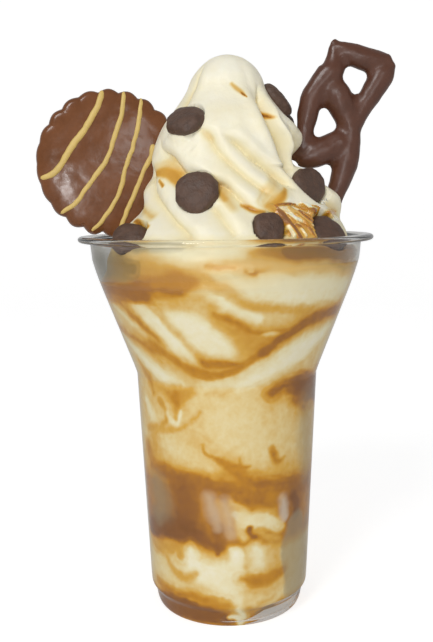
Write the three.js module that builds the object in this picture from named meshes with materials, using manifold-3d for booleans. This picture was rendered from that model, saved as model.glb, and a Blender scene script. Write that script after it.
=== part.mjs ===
// An ice cream sundae in a clear flared cup: caramel and soft ice cream in layers up to the
// rim, a soft-serve swirl above it, a scalloped chocolate biscuit with drizzled stripes, a
// chocolate-coated pretzel and chocolate drops pressed into the ice cream.
// Units are millimetres, +Z is up and the origin is the centre of the cup's foot.
// The front faces -Y. An azimuth is 0 at the front and +90 degrees at +X.
import * as THREE from "three";
import { mergeVertices } from "three/addons/utils/BufferGeometryUtils.js";
import Module from "manifold-3d";

const wasm = await Module();
wasm.setup();

// ---- driving dimensions ------------------------------------------------------------------

const RIM_RADIUS = 49; // outside of the rolled rim
const CUP_HEIGHT = 127.5;
const COLLAR_RADIUS = 45; // outside of the wall just under the rim
const WAIST_RADIUS = 30.6;
const WAIST_HEIGHT = 81.5;
const HEEL_RADIUS = 25.9;
const HEEL_HEIGHT = 5.8;
const WALL = 0.8;
const FLOOR = 1.3; // height of the inside floor
const RIM_THICKNESS = 2;
const FOOT_RADIUS = 23.4; // of the flat underside

const GAP = 0.35; // clearance between pieces that touch
const SIDES = 40; // facets round the cup and round what fills it

const SWIRL_TOP = 185.8;
const SWIRL_LEAN = 1.2; // how far the tip leans towards +X
const COIL_PITCH = 14; // height between one turn of the swirl and the next
const COIL_DEPTH = 1.3;
const FOLD_DEPTH = 1.9;

const BISCUIT = { radius: 24.5, thick: 7, dome: 1.6, scallops: 22, scallopDepth: 0.85 };
const PRETZEL_DEPTH = 0.92; // thickness of a strand against its width
const DROP = { radius: 6.5, thick: 5.4 };

const COLOURS = {
  clear: 0xeef2f2,
  cream: 0xf6efd6,
  caramelCream: 0xeed9a6,
  caramel: 0xb9782f,
  milkChocolate: 0x744a38,
  darkChocolate: 0x4c3a37,
};

// ---- small helpers -----------------------------------------------------------------------

const degrees = (angle) => (angle * Math.PI) / 180;
const clamp = (value, low, high) => Math.min(high, Math.max(low, value));

function smoothstep(low, high, value) {
  const t = clamp((value - low) / (high - low), 0, 1);
  return t * t * (3 - 2 * t);
}

// Smallest signed difference between two azimuths in degrees.
const turnBetween = (a, b) => ((((a - b + 180) % 360) + 360) % 360) - 180;

// A bell that is 1 at the given azimuth and falls off over width degrees.
const bell = (azimuth, centre, width) => Math.exp(-((turnBetween(azimuth, centre) / width) ** 2));

// Reads y at x from a list of [x, y] in rising x, along straight lines.
function readLine(points, x) {
  const last = points.length - 1;
  if (x <= points[0][0]) return points[0][1];
  if (x >= points[last][0]) return points[last][1];
  const i = points.findIndex((p) => p[0] >= x);
  const [[x0, y0], [x1, y1]] = [points[i - 1], points[i]];
  return y0 + ((y1 - y0) * (x - x0)) / (x1 - x0);
}

// Repeatable numbers from 0 to 1.
function dice(seed) {
  let state = seed;
  return () => {
    state = (state * 16807) % 2147483647;
    return state / 2147483647;
  };
}

function solidFrom(geometry) {
  const bare = geometry.clone();
  bare.deleteAttribute("normal");
  bare.deleteAttribute("uv");
  const merged = mergeVertices(bare, 1e-4);
  const corners = merged.index.array;
  const triVerts = [];
  for (let i = 0; i < corners.length; i += 3) {
    const [a, b, c] = corners.slice(i, i + 3);
    if (a !== b && b !== c && c !== a) triVerts.push(a, b, c);
  }
  const vertProperties = merged.attributes.position.array;
  const mesh = new wasm.Mesh({ numProp: 3, vertProperties, triVerts: new Uint32Array(triVerts) });
  return new wasm.Manifold(mesh);
}

// The largest body of a solid, so that no loose scrap stays.
function geometryFrom(solid) {
  const bodies = solid.decompose().sort((a, b) => b.volume() - a.volume());
  const mesh = bodies[0].getMesh();
  const geometry = new THREE.BufferGeometry();
  geometry.setAttribute("position", new THREE.BufferAttribute(mesh.vertProperties, 3));
  geometry.setIndex(new THREE.BufferAttribute(mesh.triVerts, 1));
  geometry.computeVertexNormals();
  return geometry;
}

// A solid of revolution about +Z. The profile is a list of [radius, height] from the axis
// round to the axis again, and shape(azimuth in degrees, index) may give another [radius,
// height] for each azimuth.
function turned(profile, sides, shape = (azimuth, index) => profile[index]) {
  const points = profile.map(([radius, height]) => new THREE.Vector2(radius, height));
  const geometry = new THREE.LatheGeometry(points, sides);
  const position = geometry.attributes.position;
  for (let side = 0; side <= sides; side++) {
    const azimuth = (360 * (side % sides)) / sides;
    for (let index = 0; index < profile.length; index++) {
      const [radius, height] = shape(azimuth, index);
      const x = radius * Math.sin(degrees(azimuth));
      const y = -radius * Math.cos(degrees(azimuth));
      position.setXYZ(side * profile.length + index, x, y, height);
    }
  }
  return geometry;
}

// ---- the cup -----------------------------------------------------------------------------

const SHOULDER_START = [39.8, 106];
const SHOULDER_END = [44.5, 120];

// Outside of the wall from the heel up to the rim, as [radius, height].
function outerWall() {
  const shoulder = new THREE.QuadraticBezierCurve(
    new THREE.Vector2(...SHOULDER_START),
    new THREE.Vector2(43.4, 115.2),
    new THREE.Vector2(...SHOULDER_END),
  );
  return [
    [HEEL_RADIUS - 0.7, 2],
    [HEEL_RADIUS, HEEL_HEIGHT],
    [27.2, 7.7],
    [27.4, 11],
    [29, 46],
    [WAIST_RADIUS, WAIST_HEIGHT],
    [WAIST_RADIUS + 1.1, WAIST_HEIGHT + 3.2],
    ...shoulder.getPoints(3).map((p) => [p.x, p.y]),
    [COLLAR_RADIUS, CUP_HEIGHT - RIM_THICKNESS - 0.5],
  ];
}

const INNER_WALL = outerWall().map(([radius, height]) => [radius - WALL, height]);
const FLOOR_RADIUS = 22.4;

// Inside radius of the cup at a height.
function cupRadius(height) {
  const byHeight = [[FLOOR, FLOOR_RADIUS], ...INNER_WALL.map(([radius, at]) => [at, radius])];
  return readLine(byHeight, height);
}

// Radius of what fills the cup, a clearance inside the wall.
const fillRadius = (height) => cupRadius(height) - GAP;

function cup() {
  const underside = CUP_HEIGHT - RIM_THICKNESS;
  const profile = [
    [0, 0],
    [FOOT_RADIUS, 0],
    [FOOT_RADIUS + 1.2, 0.6],
    ...outerWall(),
    [COLLAR_RADIUS + 0.5, underside],
    [RIM_RADIUS - 0.9, underside],
    [RIM_RADIUS, underside + 0.6],
    [RIM_RADIUS, CUP_HEIGHT - 0.6],
    [RIM_RADIUS - 0.7, CUP_HEIGHT],
    [COLLAR_RADIUS + 0.6, CUP_HEIGHT],
    [COLLAR_RADIUS - 0.4, CUP_HEIGHT - 0.5],
    ...[...INNER_WALL].reverse(),
    [FLOOR_RADIUS, FLOOR],
    [0, FLOOR],
  ];
  return turned(profile, SIDES);
}

// ---- the layers in the cup ---------------------------------------------------------------

const POOL_MIDDLE = 5.2; // height of the caramel pool's top at the axis
const POOL_SLOPE = 0.26; // it lies deeper towards -X
const POOL_RANGE = [2.6, 10.5];
const EMPTY_CORNER = { azimuth: 46, width: 34, depth: 6, height: 8.5 }; // unfilled, at the foot
const BAND_BOTTOM = 28.3;
const BAND_DIP = { azimuth: -90, width: 32, depth: 7 };
const BAND_TOP = 48.4;
const LAYERS_END = 60; // the layers are cut out of one filling that reaches this height

// A height of one of the surfaces between the layers, at an azimuth and a radius.
const poolTop = (azimuth, radius) => {
  const x = radius * Math.sin(degrees(azimuth));
  return clamp(POOL_MIDDLE - POOL_SLOPE * x, ...POOL_RANGE);
};

const bandBottom = (azimuth, radius) => {
  const dip = BAND_DIP.depth * bell(azimuth, BAND_DIP.azimuth, BAND_DIP.width);
  const ripple = 0.8 * Math.sin(degrees(azimuth * 3 + 20)) - dip;
  return BAND_BOTTOM + (radius / WAIST_RADIUS) ** 2 * ripple;
};

const bandTop = (azimuth, radius) => {
  const ripple = 0.9 * Math.sin(degrees(azimuth * 2 - 35)) + 0.5 * Math.cos(degrees(azimuth * 5));
  return BAND_TOP + (radius / WAIST_RADIUS) ** 2 * ripple;
};

// Everything below such a surface, raised by a clearance where one is given.
function under(surface, raise = 0) {
  const radii = [WAIST_RADIUS * 1.2, WAIST_RADIUS * 0.6, 0];
  const profile = [[0, -5], [radii[0], -5], ...radii.map((radius) => [radius, 0])];
  const shape = (azimuth, index) => {
    const [radius, height] = profile[index];
    return index < 2 ? [radius, height] : [radius, surface(azimuth, radius) + raise];
  };
  return solidFrom(turned(profile, SIDES, shape));
}

// What fills the cup up to LAYERS_END, in one piece.
function filling() {
  const low = FLOOR + GAP;
  const heights = [low, 2.6, ...INNER_WALL.map((p) => p[1]).filter((h) => h > 2.6 && h < LAYERS_END)];
  const rings = [...heights, LAYERS_END].map((height) => [fillRadius(height), height]);
  const profile = [[0, low], ...rings, [0, LAYERS_END]];
  const shape = (azimuth, index) => {
    const [radius, height] = profile[index];
    const hollow = bell(azimuth, EMPTY_CORNER.azimuth, EMPTY_CORNER.width);
    const inset = EMPTY_CORNER.depth * hollow * smoothstep(EMPTY_CORNER.height, 2, height);
    return [Math.max(radius - inset, 0), height];
  };
  return solidFrom(turned(profile, SIDES, shape));
}

const caramelPool = () => filling().intersect(under(poolTop));
const lowerIceCream = () => filling().intersect(under(bandBottom)).subtract(under(poolTop, GAP));
const caramelBand = () => filling().intersect(under(bandTop)).subtract(under(bandBottom, GAP));

// ---- the soft ice cream and its swirl ----------------------------------------------------

// Mean radius of the swirl, as [height, radius], from inside the cup up.
const SWIRL = [
  [112, 42],
  [120, 42.4],
  [126, 39.6],
  [131, 36.2],
  [136, 32.2],
  [141, 29],
  [146, 26.4],
  [152, 24.6],
  [158, 23.4],
  [163, 21.6],
  [167, 18.6],
  [170.5, 15.4],
  [174, 13],
  [178, 11.4],
  [181, 9.5],
  [183.3, 7.1],
  [184.9, 4.3],
  [SWIRL_TOP, 0],
];

// Azimuths, at FOLD_LEVEL, of the creases between the swirl's folds.
const FOLDS = [-72, -35, 9, 32, 56, 92, 128, 164, 203, 246];
const FOLD_LEVEL = 148;
const FOLD_TWIST = 2.1; // degrees that a fold turns for each millimetre down
const PEAK_START = 163; // above this the folds run nearly straight up
const PEAK_TWIST = 0.6;
const COIL_START = 154.5; // height of a coil's groove at +X

// The broad shapes that make the swirl lopsided: where each lies and what it adds to the radius.
const SKIRT = [136, 149]; // the skirt under the swirl fades out between these heights
const SKIRT_SHAPES = [
  { azimuth: 80, width: 50, reach: 3.4 },
  { azimuth: -118, width: 42, reach: -7.6 },
  { azimuth: 172, width: 46, reach: -4.6 },
];
const SIDE_SHAPES = [
  { azimuth: -86, width: 40, height: 164, tall: 9, reach: -1.2 },
  { azimuth: -84, width: 34, height: 147.5, tall: 3.4, reach: -2 },
  { azimuth: -84, width: 40, height: 135, tall: 5, reach: -2.4 },
  { azimuth: 86, width: 30, height: 161, tall: 4, reach: 1.8 },
  { azimuth: 84, width: 28, height: 151.5, tall: 3.6, reach: -4.6 },
  { azimuth: 84, width: 36, height: 140.2, tall: 5.6, reach: 4.5 },
  { azimuth: 84, width: 44, height: 127, tall: 4.5, reach: -2 },
];
const HOOD_EDGE = { azimuth: 48, width: 8, height: 152, tall: 17, reach: -3 };

// A rounded hump between two creases, 0 at both and 1 in the middle.
const hump = (share) => 1 - Math.abs(2 * share - 1) ** 2.6;

function foldShape(azimuth, height) {
  const low = Math.min(height, PEAK_START) - FOLD_LEVEL;
  const high = Math.max(height - PEAK_START, 0);
  const at = azimuth + FOLD_TWIST * low + PEAK_TWIST * high;
  const turn = (((at - FOLDS[0]) % 360) + 360) % 360;
  const edges = [...FOLDS.map((fold) => fold - FOLDS[0]), 360];
  const next = edges.findIndex((edge) => edge > turn);
  return hump((turn - edges[next - 1]) / (edges[next] - edges[next - 1]));
}

function coilShape(azimuth, height) {
  const along = (height - COIL_START) / COIL_PITCH + turnBetween(azimuth, 90) / 360;
  return hump(along - Math.floor(along));
}

// Millimetres that the broad shapes add to the radius.
function lopsided(azimuth, height) {
  const [low, high] = SKIRT;
  const skirts = SKIRT_SHAPES.map((s) => s.reach * bell(azimuth, s.azimuth, s.width));
  const skirt = smoothstep(high, low, height) * skirts.reduce((a, b) => a + b);
  const above = height - HOOD_EDGE.height - 2;
  const edgeAt = HOOD_EDGE.azimuth - (above > 0 ? 0.7 : 0.9) * above;
  const mark = (shape, at) =>
    shape.reach * bell(azimuth, at, shape.width) * bell(height, shape.height, shape.tall);
  const sides = SIDE_SHAPES.map((shape) => mark(shape, shape.azimuth));
  return skirt + sides.reduce((a, b) => a + b) + mark(HOOD_EDGE, edgeAt);
}

function swirlRadius(azimuth, height) {
  const soft = smoothstep(SWIRL_TOP - 1, 168, height); // the tip has melted smooth
  const start = smoothstep(118, 130, height);
  const folds = FOLD_DEPTH * (0.25 + 0.75 * soft) * start * (foldShape(azimuth, height) - 0.6);
  const coils = COIL_DEPTH * soft * start * (coilShape(azimuth, height) - 0.6);
  const mean = readLine(SWIRL, height);
  const shrink = clamp(mean / 8, 0, 1);
  const free = mean + shrink * (folds + coils + lopsided(azimuth, height));
  return height < CUP_HEIGHT + 1 ? Math.min(free, fillRadius(Math.min(height, 124))) : free;
}

// Heights of the rings, close together where the swirl is rounded.
function swirlHeights() {
  const heights = [];
  const step = 2.65;
  for (let height = 114; height < 178; height += step) heights.push(height);
  return [...heights, 178.5, 180.6, 182.4, 183.8, 184.9, 185.5];
}

// The ice cream from the caramel band to the tip.
function iceCream() {
  const start = BAND_TOP - 4;
  const inCup = [start, WAIST_HEIGHT, ...INNER_WALL.map((p) => p[1]).filter((h) => h > 82 && h < 112)];
  const rows = [
    { height: start, pole: true },
    ...inCup.map((height) => ({ height })),
    ...swirlHeights().map((height) => ({ height, free: true })),
    { height: SWIRL_TOP, pole: true },
  ];
  const place = (azimuth, index) => {
    const { height, free, pole } = rows[index];
    if (pole) return [0, height];
    return [free ? swirlRadius(azimuth, height) : fillRadius(height), height];
  };
  const geometry = turned(rows.map((_, index) => place(0, index)), SIDES, place);
  const position = geometry.attributes.position;
  for (let i = 0; i < position.count; i++) {
    const lean = SWIRL_LEAN * smoothstep(150, SWIRL_TOP, position.getZ(i));
    position.setX(i, position.getX(i) + lean);
  }
  return solidFrom(geometry).subtract(under(bandTop, GAP));
}

// ---- the biscuit -------------------------------------------------------------------------

const BISCUIT_AT = { x: -38.4, y: 4, z: 151.5, turn: 8, lean: 2 };

const SMOOTH_SIDE = { azimuth: -95, width: 38 }; // where the coat has filled the scallops

const STRIPE_RADIUS = 0.8;

// Stripes of drizzle in the biscuit's own plane, as points [right, up] of its radius.
const STRIPES = [
  [[-0.08, 0.98], [-0.14, 0.77], [-0.31, 0.49], [-0.48, 0.26], [-0.61, 0.07], [-0.77, -0.13],
    [-0.96, -0.2]],
  [[0.21, 0.97], [0.14, 0.56], [0.02, 0.21], [-0.09, -0.02], [-0.31, -0.31], [-0.49, -0.54],
    [-0.7, -0.69]],
  [[0.44, 0.88], [0.42, 0.66], [0.33, 0.28], [0.21, -0.07], [0.09, -0.45], [-0.09, -0.73],
    [-0.29, -0.94]],
  [[0.59, 0.25], [0.56, 0.09], [0.42, -0.19], [0.31, -0.45], [0.16, -0.77], [0.09, -0.98]],
];

// The biscuit lies flat here, face up, with its middle plane at height 0.
function biscuitDisc(grow) {
  const half = BISCUIT.thick / 2 + grow;
  const reach = BISCUIT.radius + grow;
  const profile = [
    [0, -half],
    [reach - 2, -half],
    [reach - 0.3, -half + 1.8],
    [reach, half - 2],
    [reach * 0.97, half - 0.3],
    [reach * 0.9, half + BISCUIT.dome * 0.3],
    [reach * 0.6, half + BISCUIT.dome * 0.75],
    [0, half + BISCUIT.dome],
  ];
  return turned(profile, BISCUIT.scallops * 3, (azimuth, index) => {
    const [radius, height] = profile[index];
    const wave = Math.abs(Math.cos(degrees((azimuth * BISCUIT.scallops) / 2)));
    const worn = 1 - 0.7 * bell(azimuth, SMOOTH_SIDE.azimuth, SMOOTH_SIDE.width);
    const edge = smoothstep(0.85, 0.97, radius / reach);
    return [radius - edge * BISCUIT.scallopDepth * worn * (1 - wave), height];
  });
}

function faceHeight(share) {
  const half = BISCUIT.thick / 2;
  const table = [
    [0, half + BISCUIT.dome],
    [0.6, half + BISCUIT.dome * 0.75],
    [0.9, half + BISCUIT.dome * 0.3],
    [0.97, half - 0.3],
    [1, half - 2],
  ];
  return readLine(table, share);
}

// One raised line of drizzle, laid on the biscuit's face.
function stripe(points) {
  const reach = BISCUIT.radius - 0.4;
  const path = new THREE.CatmullRomCurve3(
    points.map(([right, up]) => {
      const share = Math.hypot(right, up);
      return new THREE.Vector3(right * reach, up * reach, faceHeight(share) - 0.35);
    }),
  );
  const section = new THREE.Shape();
  section.absellipse(0, 0, STRIPE_RADIUS, STRIPE_RADIUS, 0, 2 * Math.PI);
  const options = { steps: 9, curveSegments: 2, extrudePath: path, bevelEnabled: false };
  return new THREE.ExtrudeGeometry(section, options);
}

// Stands a flat piece up so that its face looks at the front.
function standing({ x, y, z, turn, lean }) {
  const matrix = new THREE.Matrix4().makeTranslation(x, y, z);
  matrix.multiply(new THREE.Matrix4().makeRotationZ(degrees(turn)));
  matrix.multiply(new THREE.Matrix4().makeRotationX(degrees(90 - lean)));
  return matrix;
}

function biscuit() {
  let solid = solidFrom(biscuitDisc(0));
  for (const points of STRIPES) solid = solid.add(solidFrom(stripe(points)));
  return geometryFrom(solid).applyMatrix4(standing(BISCUIT_AT));
}

// The hollow that the biscuit lies in: its plain round outline, a clearance larger, with room
// for the stripes over its face.
function biscuitRoom() {
  const half = BISCUIT.thick / 2 + GAP;
  const reach = BISCUIT.radius + GAP + 0.2;
  const profile = [
    [0, -half],
    [reach, -half],
    [reach, half - 0.6],
    [reach * 0.9, half + BISCUIT.dome * 0.3 + STRIPE_RADIUS],
    [0, half + BISCUIT.dome + STRIPE_RADIUS],
  ];
  return solidFrom(turned(profile, 36).applyMatrix4(standing(BISCUIT_AT)));
}

// ---- the pretzel -------------------------------------------------------------------------

const PRETZEL_AT = { x: 41, y: 3, z: 164.2, turn: 4, lean: 0 };
const STRAND_SIDES = 8;
const CAP = { thin: 0.78, past: 0.62, tip: 0.4 }; // a strand's domed end, in shares of its radius

// Each strand is a list of [right, up, radius] in the pretzel's own plane.
const STRANDS = {
  topBar: [[-4.9, 25.9, 1.2], [-3.6, 24.4, 2.4], [-0.9, 22.8, 3.2], [4, 20.9, 3.7], [9, 19.6, 3.6],
    [13.2, 19.2, 2.9]],
  rightArm: [[13.6, 18.6, 2.7], [12.4, 16.2, 3.7], [10.8, 13.2, 3.8], [8.2, 9.2, 3.6],
    [5.2, 4.6, 3.3], [1.6, -1, 3.7]],
  leftArm: [[-4.4, 23.8, 2], [-4.4, 20.2, 2.9], [-5.2, 16.6, 4.2], [-8.6, 12.6, 4],
    [-11.8, 8, 3.7], [-13.3, 2.4, 3.3], [-14.1, -3, 2.7], [-14.8, -8, 2.7]],
  middle: [[-6.6, 13.2, 3.6], [-4.4, 10, 4.6], [-2.4, 6.6, 4.6], [-0.6, 3, 4.2], [0.9, -0.6, 4]],
  lowerBar: [[-18.6, -11.2, 1.2], [-17.2, -11, 2.2], [-14.5, -11.4, 3.6], [-11.2, -10.6, 4.4],
    [-7, -8.9, 4.4], [-2.5, -6.8, 4.3]],
  rightLeg: [[0.9, -2, 3.8], [0.4, -8.6, 4], [-0.5, -14.6, 3.9], [-2.2, -19.6, 3.6],
    [-3.7, -24.2, 3], [-4.6, -29, 2.3]],
};

// A strand of round section that follows its points, with domed ends.
function strand(points, grow) {
  const path = new THREE.CatmullRomCurve3(points.map(([x, y]) => new THREE.Vector3(x, y, 0)));
  const width = new THREE.SplineCurve(points.map((p, i) => new THREE.Vector2(i, p[2])));
  const stations = points.length + 1;
  const rings = [];
  for (let i = 0; i <= stations; i++) {
    const share = i / stations;
    rings.push({ at: path.getPoint(share), way: path.getTangent(share), r: width.getPoint(share).y });
  }
  const cap = (ring, sign) => {
    const at = ring.at.clone().addScaledVector(ring.way, sign * CAP.past * ring.r);
    return { at, way: ring.way, r: ring.r * CAP.thin };
  };
  const all = [cap(rings[0], -1), ...rings, cap(rings[stations], 1)];
  const profile = [[0, 0], ...all.map(() => [1, 0]), [0, 1]];
  const outline = profile.map((p) => new THREE.Vector2(...p));
  const geometry = new THREE.LatheGeometry(outline, STRAND_SIDES);
  const position = geometry.attributes.position;
  const up = new THREE.Vector3(0, 0, 1);
  for (let side = 0; side <= STRAND_SIDES; side++) {
    const angle = (2 * Math.PI * (side % STRAND_SIDES)) / STRAND_SIDES;
    profile.forEach(([isRing], index) => {
      const ring = all[clamp(index - 1, 0, all.length - 1)];
      const across = new THREE.Vector3().crossVectors(up, ring.way).normalize();
      const point = ring.at.clone();
      if (isRing) {
        point.addScaledVector(across, (ring.r + grow) * Math.cos(angle));
        point.addScaledVector(up, (ring.r * PRETZEL_DEPTH + grow) * Math.sin(angle));
      } else {
        point.addScaledVector(ring.way, (index ? 1 : -1) * (CAP.tip * ring.r + grow));
      }
      position.setXYZ(side * profile.length + index, point.x, point.y, point.z);
    });
  }
  return geometry;
}

function pretzelSolid(grow) {
  let solid = null;
  for (const points of Object.values(STRANDS)) {
    const piece = solidFrom(strand(points, grow));
    solid = solid ? solid.add(piece) : piece;
  }
  return solid;
}

const pretzel = () => geometryFrom(pretzelSolid(0)).applyMatrix4(standing(PRETZEL_AT));

const pretzelRoom = () => {
  const grown = geometryFrom(pretzelSolid(GAP)).applyMatrix4(standing(PRETZEL_AT));
  return solidFrom(grown);
};

// ---- the chocolate drops -----------------------------------------------------------------

// Where each drop lies: its place, the azimuth and rise of its face's normal, and its size.
const DROPS = [
  { at: [-12.3, -17, 163.2], azimuth: -28, rise: 53, size: 1 },
  { at: [-8.8, -28.4, 141.2], azimuth: -10, rise: 27, size: 1.04 },
  { at: [17.4, 2.4, 171.6], azimuth: 84, rise: 40, size: 0.98 },
  { at: [21, 10.6, 161.6], azimuth: 112, rise: 10, size: 1 },
  { at: [12.5, -33.6, 130.2], azimuth: 18, rise: 22, size: 0.8 },
  { at: [26.3, -13.8, 143.1], azimuth: 44, rise: 12, size: 1.02 },
  { at: [30.9, -22, 128.1], azimuth: 34, rise: 38, size: 1.06 },
  { at: [-29.8, -22.2, 127.1], azimuth: -9, rise: 40, size: 0.93 },
  { at: [-13.4, 24, 144.6], azimuth: 206, rise: 16, size: 1 },
  { at: [12.8, 32.4, 134.8], azimuth: 158, rise: 30, size: 0.97 },
  { at: [-3.4, 18.4, 162.4], azimuth: 186, rise: 26, size: 0.96 },
];

// A drop lies flat here, domed face up, a little lumpy by its own seed.
function dropBody(index, grow) {
  const roll = dice(11 + index * 7);
  const [a, b, c] = [roll(), roll(), roll()];
  const radius = DROP.radius + grow;
  const half = DROP.thick / 2 + grow;
  const profile = [
    [0, -half],
    [radius * 0.78, -half],
    [radius, -half * 0.2],
    [radius * 0.9, half * 0.7],
    [radius * 0.45, half],
    [0, half * 1.06],
  ];
  return turned(profile, 10, (azimuth, row) => {
    const [across, height] = profile[row];
    const oval = 0.05 * Math.sin(degrees(azimuth * 2 + a * 360));
    const lump = 0.035 * Math.sin(degrees(azimuth * 3 + b * 360));
    const tilt = (0.05 * across * Math.sin(degrees(azimuth + c * 360))) / radius;
    return [across * (1 + oval + lump), height * (1 + tilt)];
  });
}

function dropAt(index, grow) {
  const { at, azimuth, rise, size } = DROPS[index];
  const matrix = new THREE.Matrix4().makeTranslation(...at);
  matrix.multiply(new THREE.Matrix4().makeRotationZ(degrees(azimuth)));
  matrix.multiply(new THREE.Matrix4().makeRotationX(degrees(90 - rise)));
  matrix.multiply(new THREE.Matrix4().makeScale(size, size, size));
  return dropBody(index, grow).applyMatrix4(matrix);
}

// ---- the whole ---------------------------------------------------------------------------

function iceCreamRoundToppings() {
  let solid = iceCream().subtract(biscuitRoom()).subtract(pretzelRoom());
  DROPS.forEach((_, index) => {
    solid = solid.subtract(solidFrom(dropAt(index, GAP)));
  });
  return geometryFrom(solid);
}

const finish = (color, roughness, extra = {}) =>
  new THREE.MeshStandardMaterial({ color, roughness, metalness: 0, ...extra });

const MATERIALS = {
  clear: finish(COLOURS.clear, 0.06, { transparent: true, opacity: 0.35 }),
  cream: finish(COLOURS.cream, 0.45),
  caramelCream: finish(COLOURS.caramelCream, 0.45),
  caramel: finish(COLOURS.caramel, 0.25),
  milkChocolate: finish(COLOURS.milkChocolate, 0.35),
  darkChocolate: finish(COLOURS.darkChocolate, 0.6),
};

const sundae = new THREE.Group();

function place(name, geometry, material) {
  const mesh = new THREE.Mesh(geometry, material);
  mesh.name = name;
  sundae.add(mesh);
}

place("cup", cup(), MATERIALS.clear);
place("caramel_pool", geometryFrom(caramelPool()), MATERIALS.caramel);
place("ice_cream_lower", geometryFrom(lowerIceCream()), MATERIALS.caramelCream);
place("caramel_band", geometryFrom(caramelBand()), MATERIALS.caramel);
place("ice_cream", iceCreamRoundToppings(), MATERIALS.cream);
place("biscuit", biscuit(), MATERIALS.milkChocolate);
place("pretzel", pretzel(), MATERIALS.milkChocolate);
DROPS.forEach((_, index) => {
  place(`chocolate_drop_${index + 1}`, dropAt(index, 0), MATERIALS.darkChocolate);
});

export default sundae;
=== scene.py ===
"""An ice cream sundae in a clear flared cup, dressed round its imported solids.

Lengths are millimetres until a mesh is made, +Z is up and the cup stands on the floor at the
origin. An azimuth is 0 at the front (-Y) and +90 degrees at +X.
"""

import math
from itertools import product

import bpy
import numpy as np
from mathutils import Matrix, Vector


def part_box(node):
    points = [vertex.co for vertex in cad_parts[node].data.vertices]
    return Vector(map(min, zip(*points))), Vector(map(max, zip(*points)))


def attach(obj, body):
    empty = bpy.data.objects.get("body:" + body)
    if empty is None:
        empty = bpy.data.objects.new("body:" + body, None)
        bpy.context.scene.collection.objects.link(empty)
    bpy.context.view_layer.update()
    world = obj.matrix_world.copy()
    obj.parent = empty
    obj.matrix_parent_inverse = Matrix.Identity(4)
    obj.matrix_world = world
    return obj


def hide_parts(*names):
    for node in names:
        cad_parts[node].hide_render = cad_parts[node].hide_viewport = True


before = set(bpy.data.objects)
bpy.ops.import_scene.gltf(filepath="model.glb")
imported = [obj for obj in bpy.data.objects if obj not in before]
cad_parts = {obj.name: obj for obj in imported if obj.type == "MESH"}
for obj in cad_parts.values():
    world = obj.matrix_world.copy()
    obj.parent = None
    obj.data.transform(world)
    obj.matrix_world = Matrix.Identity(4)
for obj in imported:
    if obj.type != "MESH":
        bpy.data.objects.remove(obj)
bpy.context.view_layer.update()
MM = 0.001

# ---- sizes -------------------------------------------------------------------------------

RIM_RADIUS = 49.0
CUP_HEIGHT = 127.5
COLLAR_RADIUS = 45.0
WAIST_RADIUS = 30.6
WAIST_HEIGHT = 81.5
HEEL_RADIUS = 25.9
HEEL_HEIGHT = 5.8
FOOT_RADIUS = 23.4
WALL = 0.8
FLOOR = 1.3
FLOOR_RADIUS = 22.4
RIM_THICKNESS = 2.0
SKIN = 0.35  # plastic left outside the filling, which reaches into the wall

SWIRL_TOP = 185.8
SWIRL_LEAN = 1.2
LAYER_LAP = 0.05  # how far one layer of the filling runs into the next

BISCUIT = {"radius": 24.5, "thick": 7.0, "dome": 1.6, "scallops": 22, "scallop": 1.15}
BISCUIT_AT = {"x": -38.4, "y": 4.0, "z": 151.5, "turn": 8.0, "lean": 2.0}
PRETZEL_AT = {"x": 41.0, "y": 3.0, "z": 164.2, "turn": 4.0, "lean": 0.0}
PRETZEL_DEPTH = 0.92
DROP = {"radius": 6.5, "thick": 5.4}

# Mesh steps: columns round a piece, or rows and columns.
AROUND = 480  # the filling and the swirl
CUP_COLUMNS = 192
SWIRL_ROWS = 205
SHEET_GRID = (150, 280)
BISCUIT_GRID = (150, 416)
STRIPE_GRID = (90, 12)
STRAND_GRID = (60, 32)
DROP_GRID = (40, 72)


# ---- helpers -----------------------------------------------------------------------------


def smoothstep(low, high, value):
    share = np.clip((np.asarray(value, float) - low) / (high - low), 0, 1)
    return share * share * (3 - 2 * share)


def turn_between(a, b):
    return (np.asarray(a, float) - b + 180) % 360 - 180


def bell(azimuth, centre, width):
    return np.exp(-((turn_between(azimuth, centre) / width) ** 2))


def around_axis(azimuth, radius, height):
    """Points at an azimuth, a radius and a height, as (..., 3)."""
    angle = np.radians(azimuth)
    x = radius * np.sin(angle)
    y = -radius * np.cos(angle)
    return np.stack(np.broadcast_arrays(x, y, height), -1)


def lattice_noise(points, size, seed=0):
    """Smooth noise from -1 to 1 over (..., 3) points, with lumps of about the given size."""
    scaled = np.asarray(points, float) / size
    cell = np.floor(scaled)
    part = scaled - cell
    part = part * part * (3 - 2 * part)
    cell = cell.astype(np.int64)
    total = np.zeros(scaled.shape[:-1])
    for corner in product((0, 1), repeat=3):
        key = cell + np.array(corner)
        mixed = key[..., 0] * 73856093 ^ key[..., 1] * 19349663 ^ key[..., 2] * 83492791
        mixed = (mixed + seed * 7919) & 0xFFFFFFFF
        mixed = ((mixed ^ (mixed >> 15)) * 2246822519) & 0xFFFFFFFF
        mixed = ((mixed ^ (mixed >> 13)) * 3266489917) & 0xFFFFFFFF
        value = (mixed ^ (mixed >> 16)) / 0x7FFFFFFF - 1
        weight = np.prod(np.where(corner, part, 1 - part), axis=-1)
        total += value * weight
    return total


def layered_noise(points, size, seed=0, layers=3):
    """Noise with finer layers on top, each half as large and half as strong."""
    total = 0
    for layer in range(layers):
        total = total + lattice_noise(points, size / 2**layer, seed + layer) / 2**layer
    return total / 1.5


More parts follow.
